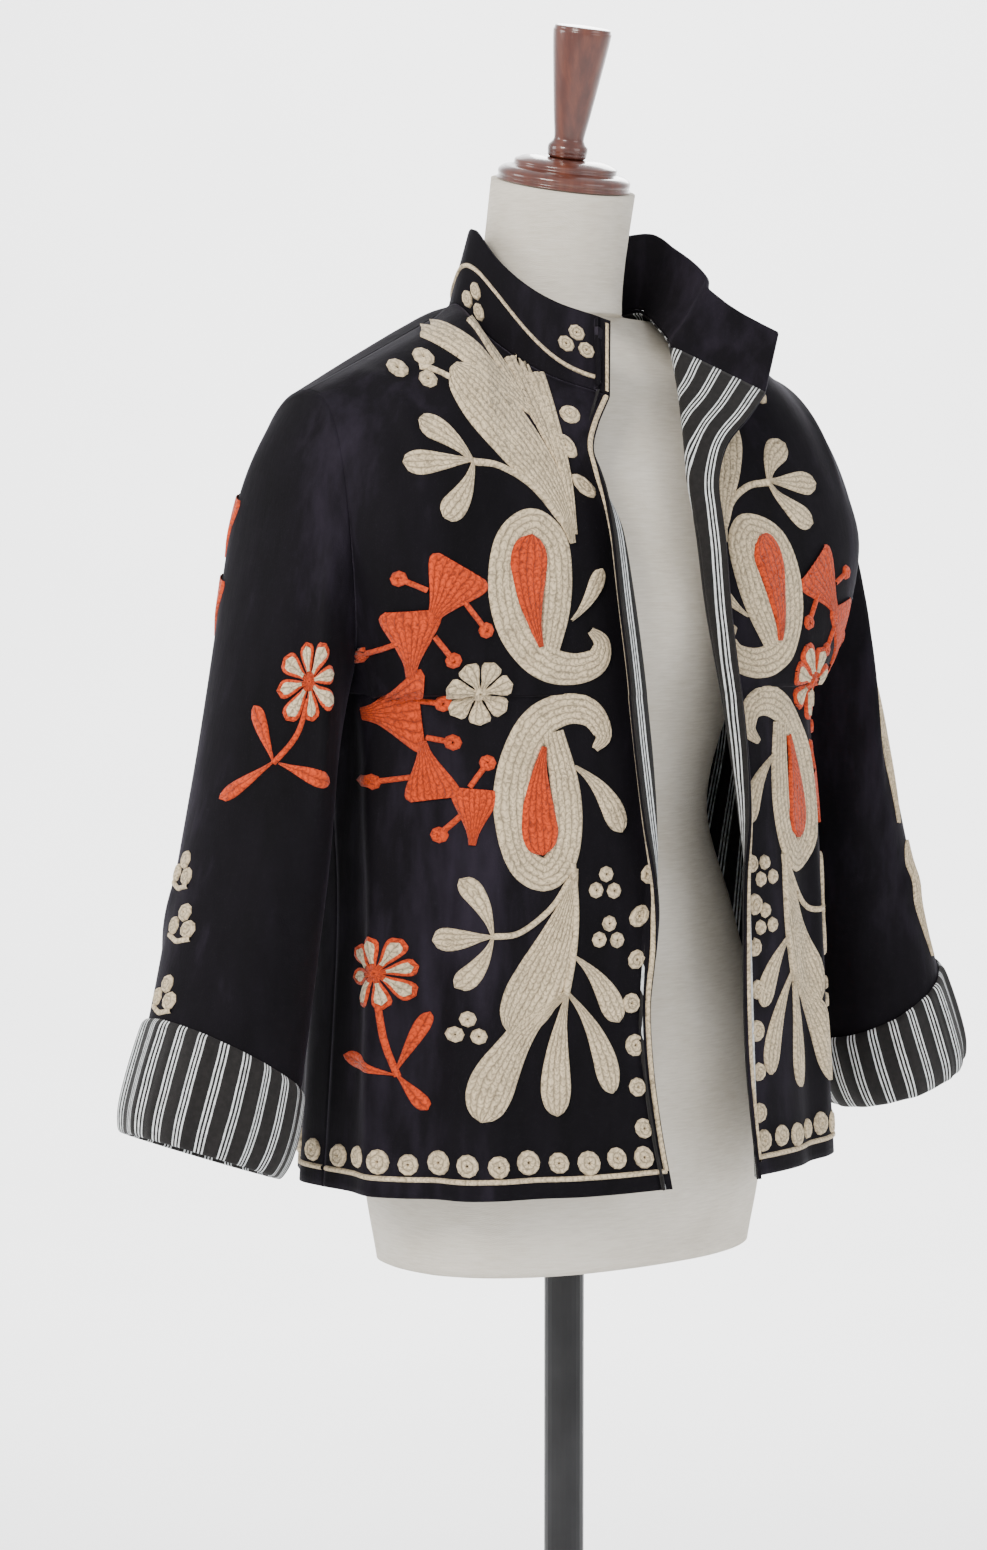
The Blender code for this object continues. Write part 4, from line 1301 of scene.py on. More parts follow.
DOTS = (
    # centre, radius
    (-150, 1305, 7.0), (-131, 1313, 7.0), (-133, 1297, 6.5),
    (-16, 949, 6.0), (-24, 938, 6.0), (-10, 937, 6.0),
    (-14, 914, 6.0), (-22, 903, 6.0), (-8, 902, 6.0),
    (-118, 850, 6.0), (-126, 839, 6.0), (-111, 838, 6.0),
)
WEDGES = (
    # point, and the two ends of the wide side
    ((-143, 1132), (-146, 1166), (-105, 1159)),
    ((-155, 1095), (-175, 1130), (-140, 1133)),
    ((-174, 1062), (-152, 1091), (-141, 1039)),
    ((-142, 1039), (-152, 1004), (-122, 1009)),
    ((-113, 976), (-124, 1008), (-97, 1006)),
)
CHAIN_DOTS = (
    # dot, and where its short stem starts
    ((-167, 1158), (-148, 1150)), ((-106, 1122), (-122, 1142)), ((-128, 1101), (-142, 1118)),
    ((-185, 1103), (-163, 1114)), ((-130, 1070), (-148, 1072)), ((-124, 1043), (-140, 1046)),
    ((-174, 1014), (-150, 1018)), ((-102, 1029), (-114, 1012)), ((-133, 978), (-120, 992)),
)

# Border, in millimetres: yarn's half width, the line's distance from the hem and from the front edge, then
# distance and radius of the dots over the hem and up the front edge, and the heights of the latter
YARN_HALF = 2.2
HEM_LINE = 13.5
EDGE_LINE = 2.6
HEM_DOTS = 25
HEM_DOT = 8.6
LOW_DOTS = (15.5, 7.6, (46, 76, 106, 136, 167, 198, 228))
CHEST_DOTS = (22.5, 8.6, (504, 533, 562))

FLOWER = (-108, 1078)
FLOWER_PETALS = 7
SPRIG_SPOT = (-175, 880)
SPRIG_BODY = {
    # from the flower's middle: length of its petals, its stem, and its leaves
    "petal": 24.0, "stem": ((1, -11, 2.6), (7, -46, 2.6), (16, -72, 2.6)),
    "leaves": (((14, -70), (33, -26), 5.5), ((14, -71), (-30, -62), 6.0), ((15, -70), (34, -95), 5.5)),
}
SPRIG_SLEEVE = {
    "petal": 26.0, "stem": ((0, -12, 2.6), (-6, -36, 2.6), (-20, -56, 2.6)),
    "leaves": (((-20, -55), (-42, -17), 5.5), ((-20, -55), (-52, -82), 6.0), ((-16, -56), (25, -70), 6.5)),
}
PETALS = 8
# How much wider a sprig lies along the cloth than it is drawn
SPREAD = 1.25

# Pattern of the sleeves, seen from this many degrees off the front
SPRIG_VIEW = -45
SPRIG_SLEEVE_SPOT = (-147, 1086)
LEAVES_VIEW = 60
OUTER_VIEW = 110
OUTER_LEAVES = (
    # middle, half length, half width, bend
    ((88, 1016), 54, 16.0, 0.05),
    ((112, 902), 46, 13.0, -0.05),
)
OUTER_WEDGES = (((20, 1176), (14, 1214), (40, 1206)), ((24, 1120), (18, 1156), (44, 1150)))
OUTER_CLUSTERS = ((89, 953), (108, 918), (112, 869))
LEFT_SHIFT = (
    # height on the right front, how far nearer the middle the left front's pattern sits, how much lower
    (700, -12.0, 0.0), (940, -14.0, 0.0), (1040, -2.0, 0.0), (1110, 18.0, 0.0),
    (1180, 38.0, 0.0), (1230, 54.0, 14.0), (1290, 66.0, 16.0), (1340, 66.0, 16.0),
)

FRONT_CREASES = (
    # across and down where it starts, across and down where it ends, width, depth
    (0.95, 0.10, 0.80, 0.34, 0.030, -0.0035),
    (0.88, 0.06, 0.74, 0.26, 0.026, 0.0028),
    (0.98, 0.24, 0.82, 0.52, 0.030, -0.0032),
    (0.90, 0.44, 0.86, 0.96, 0.030, 0.0040),
    (0.72, 0.50, 0.70, 0.98, 0.034, -0.0035),
    (0.56, 0.56, 0.58, 0.99, 0.030, 0.0035),
    (0.40, 0.46, 0.44, 0.94, 0.030, -0.0028),
    (0.62, 0.22, 0.44, 0.40, 0.030, -0.0022),
    (0.34, 0.30, 0.50, 0.52, 0.026, 0.0018),
)
BACK_CREASES = (
    (0.06, 0.22, 0.20, 0.44, 0.026, -0.0035),
    (0.94, 0.20, 0.82, 0.42, 0.026, -0.0035),
    (0.14, 0.46, 0.16, 0.98, 0.022, 0.0045),
    (0.30, 0.50, 0.28, 0.99, 0.026, -0.0045),
    (0.43, 0.40, 0.45, 0.98, 0.026, 0.0038),
    (0.58, 0.44, 0.55, 0.99, 0.024, -0.0040),
    (0.71, 0.50, 0.73, 0.98, 0.026, 0.0042),
    (0.86, 0.46, 0.84, 0.99, 0.022, -0.0042),
    (0.36, 0.10, 0.64, 0.13, 0.030, 0.0018),
)
SLEEVE_CREASES = (
    # across is round the sleeve, from its top line over its front
    (0.18, 0.04, 0.22, 0.52, 0.022, -0.0045),
    (0.26, 0.08, 0.30, 0.46, 0.022, 0.0040),
    (0.36, 0.10, 0.37, 0.40, 0.020, -0.0040),
    (0.10, 0.50, 0.32, 0.66, 0.026, -0.0035),
    (0.16, 0.70, 0.36, 0.62, 0.024, 0.0030),
    (0.08, 0.84, 0.30, 0.92, 0.028, -0.0030),
    (0.60, 0.08, 0.66, 0.50, 0.022, -0.0045),
    (0.74, 0.06, 0.72, 0.48, 0.022, 0.0040),
    (0.84, 0.40, 0.66, 0.60, 0.026, -0.0035),
    (0.92, 0.66, 0.74, 0.78, 0.026, 0.0030),
)
COLLAR_CREASES = (
    (0.20, 0.20, 0.28, 0.90, 0.05, 0.0012),
    (0.60, 0.15, 0.66, 0.90, 0.05, -0.0020),
    (0.78, 0.20, 0.74, 0.90, 0.05, 0.0018),
)

# Creases fade out near a piece's top and foot. They stay clear of the form by the walls of the cloth, and
# cloth that lies nearer the form than the least cover is lifted, never by more than the most rise.
EDGE_FADE = 14
WALLS = VELVET + LINING + 3 * GAP
MOST_RISE = 0.003
LEAST_COVER = 0.0010

# Where a front lining's evened side begins, across the piece, and how often it is evened
SIDE_SHARE = 0.72
SIDE_PASSES = 10

# Cuffs: how far round their stripes run, the row that this is measured on, and their puckers in metres
CUFF_ROUND = 2 * math.pi * 0.0615
CUFF_WIDEST_ROW = 12
CUFF_PUCKER_ENDS = (-0.0012, 0.0022)
CUFF_PUCKERS = (
    # height, how many round the cuff, where they start
    (0.0011, 9, 1.0),
    (0.0009, 14, 2.4),
    (0.0007, 23, 0.0),
)

# Rows and columns of the finest grids
SLEEVE_FINE = (120, 120)
CUFF_FINE = (84, 144)
FORM_FINE = (150, 96)
TURNED_STEPS = 64
SHEETS = {
    # rows, columns, creases, where its middle faces
    "front_right": (150, 112, FRONT_CREASES, (-0.4, -1.0, 0.2)),
    "front_left": (150, 112, FRONT_CREASES, (0.4, -1.0, 0.2)),
    "back": (130, 168, BACK_CREASES, (0.0, 1.0, 0.0)),
    "collar": (30, 180, COLLAR_CREASES, (0.0, 1.0, 0.0)),
}


class Garment:
    """Fine grids, normals and finished pieces shared by the operators."""

    def __init__(self):
        coarse = garment_grids()
        form = surface_tree(closed_round(form_grid()))
        self.grids, self.normals = {}, {}
        for name, (rows, cols, creases, faces) in SHEETS.items():
            grid = refined(coarse[name], rows, cols)
            normals = grid_normals(grid, np.array(faces))
            grid = creased(grid, normals, creases, gaps_over(form, grid, normals))
            self.grids[name], self.normals[name] = grid, grid_normals(grid, np.array(faces))
        for name in ("sleeve_right", "sleeve_left"):
            grid = refined(coarse[name], *SLEEVE_FINE, True)
            normals = tube_normals(grid)
            grid = creased(grid, normals, SLEEVE_CREASES, gaps_over(form, grid, normals))
            self.grids[name], self.normals[name] = grid, tube_normals(grid)

    def cloth(self, name, piece, depth, thickness, material, around=False):
        """A piece of one cloth, laid a depth inside the garment's outside."""
        flat = flat_map(closed_round(self.grids[name]) if around else self.grids[name])
        grid = self.grids[name] - self.normals[name] * depth
        if depth and name != "back":
            grid = eased_side(grid)
        return sheet_object(piece, grid, flat, thickness, material, around)


garment = None


def garment_of():
    """The grids of the garment, worked out once."""
    global garment
    if garment is None:
        garment = Garment()
    return garment


def left_shift(a, b):
    """Where a point of the right front's pattern goes on the left one."""
    heights, inwards, lower = zip(*LEFT_SHIFT)
    return -a - float(np.interp(b, heights, inwards)), b - float(np.interp(b, heights, lower))


def mirrored(a, b):
    """A place of the pattern on the other side."""
    return -a, b


def unmoved(a, b):
    """A place of the pattern as it is drawn."""
    return a, b


def embroider_front(side):
    """The worked pattern of one front: paisleys, leaves, flower, chain of patches, sprig and border."""
    g = garment_of()
    name = "front_" + SIDE_NAMES[side]
    grid, normals = g.grids[name], g.normals[name]
    strip = int(round(grid.shape[1] * STRIP_COLS / (STRIP_COLS + HALF_COLS)))
    place = on_surface(surface_tree(grid[:, strip - 1 :]), FRONT_VIEW * side)
    shift = unmoved if side < 0 else left_shift
    wool = Needlework()

    def work(points, rows, material=CREAM, lift=0.0, closed=False):
        moved = [(*shift(a, b), w) for a, b, w in points]
        wool.strip(place, moved, rows, STITCH_HEIGHT, lift, material, closed)

    for points in PAISLEYS:
        work(points, 5)
    for points in FAN:
        work(points, max(int(round(max(row[2] for row in points) / 2.4)), 3))
    for start, end, half, bend in TEARDROPS:
        work(leaf(start, end, half, bend), 5, ORANGE, CORE_LIFT)
    for start, end, half, bend in LEAVES:
        work(leaf(start, end, half, bend), max(int(round(half / 2.3)), 2))
    for points in STEMS:
        work(points, 1)
    for a, b, radius in DOTS:
        work(ring((a, b), radius), 1, closed=True)
    for apex, b, c in WEDGES:
        work(wedge(apex, b, c), 8, ORANGE)
    for (a, b), (a0, b0) in CHAIN_DOTS:
        work(ring((a, b), 6.0), 1, ORANGE, closed=True)
        middle = ((a + a0) / 2, (b + b0) / 2, YARN_HALF)
        work(((a0, b0, YARN_HALF), middle, (a, b, YARN_HALF)), 1, ORANGE)
    reach, petal = (23, CREAM) if side < 0 else (29, ORANGE)
    for k in range(FLOWER_PETALS):
        angle = 2 * math.pi * k / FLOWER_PETALS + 0.3
        c, s = math.cos(angle), math.sin(angle)
        foot, core_foot, core_tip, tip = (
            (FLOWER[0] + far * c, FLOWER[1] + far * s) for far in (3, 8, reach - 3, reach)
        )
        work(leaf(foot, tip, reach * 0.34, 0.0, 0.25), 3, petal)
        if side > 0:
            work(leaf(core_foot, core_tip, reach * 0.34 - 2.8, 0.0, 0.4), 2, CREAM, PETAL_CORE_LIFT)
    work(ring(FLOWER, 5.0), 1, petal, FLOWER_EYE_LIFT, True)
    spot, _ = place(*shift(*SPRIG_SPOT))
    wool.sprig(along_sheet(grid, normals, spot, -SPREAD), SPRIG_BODY)

    edge, tall = along_edge(grid, normals)
    hem, wide = along_hem(grid, normals)
    line = [(14 + (tall - 16) * k / 40, EDGE_LINE, YARN_HALF) for k in range(41)]
    wool.strip(edge, line, 1, LINE_HEIGHT)
    line = [(EDGE_LINE + (wide - 4) * k / 24, HEM_LINE, YARN_HALF) for k in range(25)]
    wool.strip(hem, line, 1, LINE_HEIGHT)
    for k, a in enumerate(np.linspace(20, wide - 14, 12 if side < 0 else 11)):
        wool.dot(hem, (a, HEM_DOTS + 1.2 * math.sin(2.1 * k)), HEM_DOT + 0.7 * math.sin(3.7 * k))
    dots = []
    for inwards, radius, heights in (LOW_DOTS, CHEST_DOTS) if side < 0 else (LOW_DOTS,):
        dots += [(height, inwards, radius) for height in heights]
    for k, (a, b, radius) in enumerate(dots):
        wool.dot(edge, (a, b + math.sin(2.7 * k)), radius + 0.6 * math.sin(4.1 * k))
    return wool.piece(name)


def embroider_back():
    """The border line and dots go on round the back's hem."""
    g = garment_of()
    wool = Needlework()
    hem, wide = along_hem(g.grids["back"], g.normals["back"])
    line = [(2 + (wide - 4) * k / 40, HEM_LINE, YARN_HALF) for k in range(41)]
    wool.strip(hem, line, 1, LINE_HEIGHT)
    for k, a in enumerate(np.linspace(14, wide - 14, 21)):
        wool.dot(hem, (a, HEM_DOTS + 1.2 * math.sin(1.9 * k)), HEM_DOT + 0.7 * math.sin(2.9 * k))
    return wool.piece("back")


def embroider_sleeve(side):
    """A sprig on the right sleeve, two large leaves on the left, patches and dots down both outsides."""
    g = garment_of()
    name = "sleeve_" + SIDE_NAMES[side]
    grid, normals = closed_round(g.grids[name]), closed_round(g.normals[name])
    tree = surface_tree(grid)
    turned = unmoved if side < 0 else mirrored
    wool = Needlework()
    if side < 0:
        spot, _ = on_surface(tree, SPRIG_VIEW)(*SPRIG_SLEEVE_SPOT)
        wool.sprig(along_sheet(grid, normals, spot, SPREAD), SPRIG_SLEEVE)
    else:
        for middle, reach, half, bend in OUTER_LEAVES:
            spot, _ = on_surface(tree, LEAVES_VIEW)(*middle)
            wool.strip(along_sheet(grid, normals, spot, 1), leaf((0, -reach), (0, reach), half, bend), 6)
    outer = on_surface(tree, OUTER_VIEW * side)
    for apex, b, c in OUTER_WEDGES:
        wool.strip(outer, [(*turned(a, z), w) for a, z, w in wedge(apex, b, c)], 5, wool=ORANGE)
    for a, b in OUTER_CLUSTERS:
        for da, db in ((1, 8), (-9, -2), (9, -3)):
            wool.dot(outer, turned(a + da, b + db), 6.6)
        ends = [(*turned(a + 7 * k, b - 12 + 1.5 * abs(k)), YARN_HALF) for k in (-2, -1, 0, 1, 2)]
        wool.strip(outer, ends, 1, SPRIG_HEIGHT)
    return wool.piece(name)


def embroider_collar():
    """A waved stem with small clusters of dots round the outside of the collar."""
    g = garment_of()
    grid = g.grids["collar"]
    at = sampler(grid, g.normals["collar"])
    run = lengths(grid, 1)[-3] * 1000
    high = lengths(grid, 0)[:, grid.shape[1] // 2] * 1000

    def place(a, b):
        c = float(np.interp(a, run, np.arange(grid.shape[1])))
        r = float(np.interp(b, high, np.arange(grid.shape[0])))
        return at(r, c)

    wool = Needlework()
    reach = run[-1] - 8
    wave = []
    for a in np.linspace(8, reach, 56):
        wave.append((a, 24 - 13 * math.cos(2 * math.pi * (a - 15) / VINE_PERIOD), 2.1))
    wool.strip(place, wave, 1, VINE_HEIGHT)
    for k, a in enumerate(np.arange(26, reach - 12, VINE_PERIOD / 2)):
        up = 14 if k % 2 else 34
        for da, db in ((0, 7.5), (-7.5, -4), (7.5, -4)):
            wool.dot(place, (a + da, up + db), 6.4)
    wool.strip(place, [(2.4, 3 + (high[-1] - 6) * k / 8, 1.6) for k in range(9)], 1, EDGE_HEIGHT)
    return wool.piece("collar")


def cuff_sheet(side):
    """The cuff as one fine closed ring: band, fold and return, with stripes along the sleeve."""
    rings = []
    for s, out in CUFF:
        near = sleeve_grid(side, (s - 0.01, s, s + 0.01))
        rings.append(near[1] + sleeve_normals(near)[1] * out)
    rows, cols = CUFF_FINE
    fine = spline(spline(np.array(rings), rows, True).swapaxes(0, 1), cols, True).swapaxes(0, 1)
    angle = np.arange(cols) / cols * 2 * math.pi
    pucker = 0.0
    for height, count, start in CUFF_PUCKERS:
        pucker = pucker + height * np.sin(count * angle + start)
    out = unit(fine - fine.mean(axis=1, keepdims=True))
    half = rows // 2
    band = np.zeros(rows)
    band[:half] = np.sin(np.linspace(0, math.pi, half)) ** 0.8
    fine = fine + out * (band[:, None] * np.clip(pucker, *CUFF_PUCKER_ENDS))[..., None]
    fine = np.concatenate([fine, fine[:1]], axis=0)
    wide = closed_round(fine)
    across = lengths(wide, 1)[CUFF_WIDEST_ROW]
    across = np.repeat((across * (CUFF_ROUND / across[-1]))[None, :], rows + 1, axis=0)
    uv = np.stack([across, lengths(wide, 0)], axis=-1)
    obj = sheet_object("cuff_band_" + SIDE_NAMES[side], fine, uv, 0.0, "woven_stripe", True)
    bm = bmesh.new()
    bm.from_mesh(obj.data)
    bmesh.ops.remove_doubles(bm, verts=bm.verts, dist=1e-6)
    bmesh.ops.recalc_face_normals(bm, faces=bm.faces)
    if bm.calc_volume(signed=True) < 0:
        bmesh.ops.reverse_faces(bm, faces=bm.faces)
    bm.to_mesh(obj.data)
    bm.free()
    return obj


def form_rings():
    """Rings of the form, from its underside over the shoulders to the top of its neck."""
    rings = [form_ring(*row) for row in FORM]
    for x, depth, power in SHOULDER_RINGS:
        rings.append(form_ring(shoulder_z(x), x, depth, RIDGE_Y, power))
    lean = math.tan(math.radians(NECK_TILT))
    for z, radius in NECK_RINGS:
        shift = NECK_CENTRE_Y - (z - LEAN_FROM_Z) * lean
        slope = lean * smooth(NECK_SLOPE_Z, NECK_TOP_Z, z)
        level = form_ring(z, radius, radius, shift, 2.0)
        rings.append([(x, y, z + (y - shift) * slope) for x, y, _ in level])
    return np.array(rings)


def form_grid():
    """The fine grid of the form."""
    rows, cols = FORM_FINE
    return gentle(gentle(form_rings(), rows).swapaxes(0, 1), cols, True).swapaxes(0, 1)


def form_piece():
    """The linen-covered form, smooth and whole from its underside to the top of the neck."""
    grid = form_grid()
    obj = sheet_object("form_cover", grid, flat_map(closed_round(grid)), 0.0, "woven_linen", True)
    bm = bmesh.new()
    bm.from_mesh(obj.data)
    rims = [edge for edge in bm.edges if edge.is_boundary]
    bmesh.ops.holes_fill(bm, edges=rims, sides=0)
    bmesh.ops.recalc_face_normals(bm, faces=bm.faces)
    bm.to_mesh(obj.data)
    bm.free()
    return obj


def turned_piece(name, profile, base):
    """A turned wooden piece, from a rounded profile spun about its own axis and tilted forward."""
    line = spline(np.array(profile, float), 10 * (len(profile) - 1) + 1)
    line[:, 0] = np.maximum(line[:, 0], 0.0)
    line[0, 0] = line[-1, 0] = 0.0
    bm = bmesh.new()
    verts = [bm.verts.new((r, 0, z)) for r, z in line]
    for a, b in zip(verts, verts[1:]):
        bm.edges.new((a, b))
    whole = {"axis": (0, 0, 1), "cent": (0, 0, 0), "steps": TURNED_STEPS, "angle": 2 * math.pi}
    bmesh.ops.spin(bm, geom=bm.verts[:] + bm.edges[:], use_merge=True, **whole)
    bmesh.ops.remove_doubles(bm, verts=bm.verts, dist=1e-5)
    bmesh.ops.recalc_face_normals(bm, faces=bm.faces)
    tilt = math.radians(NECK_TILT)
    c, s = math.cos(tilt), math.sin(tilt)
    for v in bm.verts:
        x, y, z = v.co
        v.co = (base[0] + x, base[1] + y * c - z * s, base[2] + y * s + z * c)
    return new_object(name, bm, ["polished_wood"])


# Camera: its angle off the front, its distance, its height and the height that it aims at. The form's
# axis stands CAMERA_SIDE pixels off the picture's middle, at a focal length of CAMERA_PIXELS.
CAMERA_AZIMUTH = -37.0
CAMERA_DISTANCE = 2.9
CAMERA_Z = 1.22
CAMERA_AIM_Z = 1.008
CAMERA_SIDE = 71.5
CAMERA_PIXELS = 3915.0
CAMERA_SENSOR = 36.0

# Sweep: how far its floor runs before and behind the form, the radius of its curve, and half its width
SWEEP_FRONT = -6.0
SWEEP_FLOOR = 3.3
SWEEP_RADIUS = 3.5
SWEEP_HALF = 20.0

# Light
KEY_COLOUR = (1.0, 0.96, 0.90)
WHITE = (1.0, 1.0, 1.0)
RIM_POWER = 26.0
RIM_LEFT_POWER = 20.0
SKY_COLOUR = (0.97, 0.98, 1.0, 1.0)
SKY_STRENGTH = 0.95


def cap_and_finial():
    """The two turned pieces that stand on the neck, a gap apart."""
    tilt = math.radians(NECK_TILT)
    top_y = NECK_CENTRE_Y - (NECK_TOP_Z - LEAN_FROM_Z) * math.tan(tilt)
    foot = (0.0, top_y, NECK_TOP_Z + GAP / math.cos(tilt))
    cap = turned_piece("cap_turned", CAP, foot)
    foot = (0.0, top_y - CAP_HEIGHT * math.sin(tilt), foot[2] + CAP_HEIGHT * math.cos(tilt))
    finial = turned_piece("finial_turned", FINIAL, foot)
    return cap, finial


def build_sweep():
    """A pale floor that curves up behind the form, square on to the camera."""
    bm = bmesh.new()
    profile = [(SWEEP_FRONT, 0.0), (SWEEP_FLOOR, 0.0)]
    for degrees in range(3, 91, 3):
        a = math.radians(degrees)
        profile.append((SWEEP_FLOOR + SWEEP_RADIUS * math.sin(a), SWEEP_RADIUS - SWEEP_RADIUS * math.cos(a)))
    profile.append((SWEEP_FLOOR + SWEEP_RADIUS, 2 * SWEEP_RADIUS))
    verts = [bm.verts.new((-SWEEP_HALF, y, z)) for y, z in profile]
    edges = [bm.edges.new(pair) for pair in zip(verts, verts[1:])]
    for made in bmesh.ops.extrude_edge_only(bm, edges=edges)["geom"]:
        if isinstance(made, bmesh.types.BMVert):
            made.co.x = SWEEP_HALF
    turn = Matrix.Rotation(math.radians(CAMERA_AZIMUTH), 4, "Z")
    for vert in bm.verts:
        vert.co = turn @ vert.co
    bmesh.ops.recalc_face_normals(bm, faces=bm.faces)
    bm.normal_update()
    if sum(face.normal.z for face in bm.faces) < 0:
        bmesh.ops.reverse_faces(bm, faces=bm.faces)
    for face in bm.faces:
        face.smooth = True
    mesh = bpy.data.meshes.new("studio_sweep")
    bm.to_mesh(mesh)
    bm.free()
    mesh.materials.append(bpy.data.materials["studio_sweep"])
    sweep = bpy.data.objects.new("studio_sweep", mesh)
    bpy.data.collections[COLLECTION].objects.link(sweep)


def build_camera(focal):
    """A camera that looks at the form from the photograph's side."""
    camera = bpy.data.cameras.new("photo_camera")
    camera.lens = focal
    camera.sensor_width = CAMERA_SENSOR
    camera.dof.use_dof = False
    view = bpy.data.objects.new("photo_camera", camera)
    azimuth = math.radians(CAMERA_AZIMUTH)
    forward = Vector((-math.sin(azimuth), math.cos(azimuth), 0.0))
    right = Vector((math.cos(azimuth), math.sin(azimuth), 0.0))
    place = Vector((0.0, 0.0, CAMERA_Z)) - forward * CAMERA_DISTANCE
    yaw = math.atan(CAMERA_SIDE / CAMERA_PIXELS)
    level = forward * math.cos(yaw) - right * math.sin(yaw)
    across = right * math.cos(yaw) + forward * math.sin(yaw)
    pitch = math.atan((CAMERA_AIM_Z - CAMERA_Z) / CAMERA_DISTANCE)
    ahead = level * math.cos(pitch) + Vector((0, 0, 1)) * math.sin(pitch)
    up = across.cross(ahead)
    view.matrix_world = Matrix.Translation(place) @ Matrix((across, up, -ahead)).transposed().to_4x4()
    bpy.data.collections[COLLECTION].objects.link(view)
    return view


class JacketClothSettings(bpy.types.PropertyGroup):
    """Sizes of the cloth."""

    velvet: bpy.props.FloatProperty(
        name="Velvet", description="Thickness of the velvet",
        default=VELVET, unit="LENGTH", subtype="DISTANCE",
    )
    lining: bpy.props.FloatProperty(
        name="Lining", description="Thickness of the lining",
        default=LINING, unit="LENGTH", subtype="DISTANCE",
    )


class JacketColourSettings(bpy.types.PropertyGroup):
    """Colours of the cloth and the wool."""

    velvet: bpy.props.FloatVectorProperty(
        name="Velvet", description="Colour of the velvet",
        default=(0.0042, 0.0033, 0.0054), subtype="COLOR", min=0.0, max=1.0,
    )
    lining: bpy.props.FloatVectorProperty(
        name="Lining", description="Ground colour of the striped lining",
        default=(0.011, 0.009, 0.009), subtype="COLOR", min=0.0, max=1.0,
    )
    line: bpy.props.FloatVectorProperty(
        name="Lining lines", description="Colour of the lining's lines",
        default=(0.80, 0.83, 0.84), subtype="COLOR", min=0.0, max=1.0,
    )
    cream: bpy.props.FloatVectorProperty(
        name="Pale wool", description="Colour of the pale embroidery wool",
        default=(0.56, 0.45, 0.295), subtype="COLOR", min=0.0, max=1.0,
    )
    orange: bpy.props.FloatVectorProperty(
        name="Orange wool", description="Colour of the orange embroidery wool",
        default=(0.50, 0.050, 0.009), subtype="COLOR", min=0.0, max=1.0,
    )


class JacketLightSettings(bpy.types.PropertyGroup):
    """Light and camera."""

    key_power: bpy.props.FloatProperty(
        name="Key light", description="Power of the main light", default=95.0, unit="POWER",
    )
    fill_power: bpy.props.FloatProperty(
        name="Fill light", description="Power of the fill light", default=30.0, unit="POWER",
    )
    backdrop_power: bpy.props.FloatProperty(
        name="Backdrop light", description="Power of the light on the backdrop", default=800.0, unit="POWER",
    )
    focal: bpy.props.FloatProperty(
        name="Focal length", description="Focal length of the camera in millimetres",
        default=90.93, unit="CAMERA",
    )


def cut_of(grid):
    """The size a cloth piece was cut to: its widest row, its longest column, and its area."""
    down = grid[1:, :-1] - grid[:-1, :-1]
    across = grid[:-1, 1:] - grid[:-1, :-1]
    area = float(np.linalg.norm(np.cross(down, across), axis=-1).sum())
    wide = float(lengths(grid, 1)[:, -1].max())
    long = float(lengths(grid, 0)[-1].max())
    return (round(wide, 3) + 0.001, round(long, 3) + 0.001), area


def declare(node, grid):
    """Hide the solid that a cloth piece stands for, and work out the piece's cut."""
    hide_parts(node)
    flat, area = cut_of(grid)


class JACKET_OT_materials(bpy.types.Operator):
    """Make the materials."""

    bl_idname = "jacket.materials"
    bl_label = "Materials"

    def execute(self, context):
        make_materials(context.scene.jacket_colours)
        for obj in bpy.data.objects:
            if obj.name in ("pole", "base"):
                for slot in obj.material_slots:
                    slot.material = bpy.data.materials["coated_steel"]
        return {"FINISHED"}


class JACKET_OT_body(bpy.types.Operator):
    """Build the velvet of the fronts, back and sleeves."""

    bl_idname = "jacket.body"
    bl_label = "Velvet"

    def execute(self, context):
        g = garment_of()
        thick = context.scene.jacket_cloth.velvet
        for node in ("front_right", "front_left", "back"):
            piece = g.cloth(node, "velvet_" + node, 0.0, thick, "pile_velvet")
            declare(node, g.grids[node])
        for node in ("sleeve_right", "sleeve_left"):
            piece = g.cloth(node, "velvet_" + node, 0.0, thick, "pile_velvet", True)
            declare(node, closed_round(g.grids[node]))
        return {"FINISHED"}


class JACKET_OT_collar(bpy.types.Operator):
    """Build the stand collar."""

    bl_idname = "jacket.collar"
    bl_label = "Collar"

    def execute(self, context):
        g = garment_of()
        piece = g.cloth("collar", "velvet_collar", 0.0, COLLAR_CLOTH, "pile_velvet")
        declare("collar", g.grids["collar"])
        return {"FINISHED"}


class JACKET_OT_linings(bpy.types.Operator):
    """Build the striped linings of the body."""

    bl_idname = "jacket.linings"
    bl_label = "Linings"

    def execute(self, context):
        g = garment_of()
        thick = context.scene.jacket_cloth.lining
        near = context.scene.jacket_cloth.velvet + GAP
        for node in ("front_right", "front_left", "back"):
            piece = g.cloth(node, "striped_" + node, near, thick, "woven_stripe")
            declare("lining_" + node, g.grids[node])
        return {"FINISHED"}


class JACKET_OT_cuffs(bpy.types.Operator):
    """Build the turned-back cuffs."""

    bl_idname = "jacket.cuffs"
    bl_label = "Cuffs"

    def execute(self, context):
        for side, name in SIDES:
            piece = cuff_sheet(side)
            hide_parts("cuff_" + name)
        return {"FINISHED"}


class JACKET_OT_embroidery(bpy.types.Operator):
    """Work the wool embroidery on the velvet."""

    bl_idname = "jacket.embroidery"
    bl_label = "Embroidery"

    def execute(self, context):
        fronts = [embroider_front(side) for side, _ in SIDES]
        back = embroider_back()
        sleeves = [embroider_sleeve(side) for side, _ in SIDES]
        for piece in (*fronts, back, *sleeves, embroider_collar()):
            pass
        return {"FINISHED"}


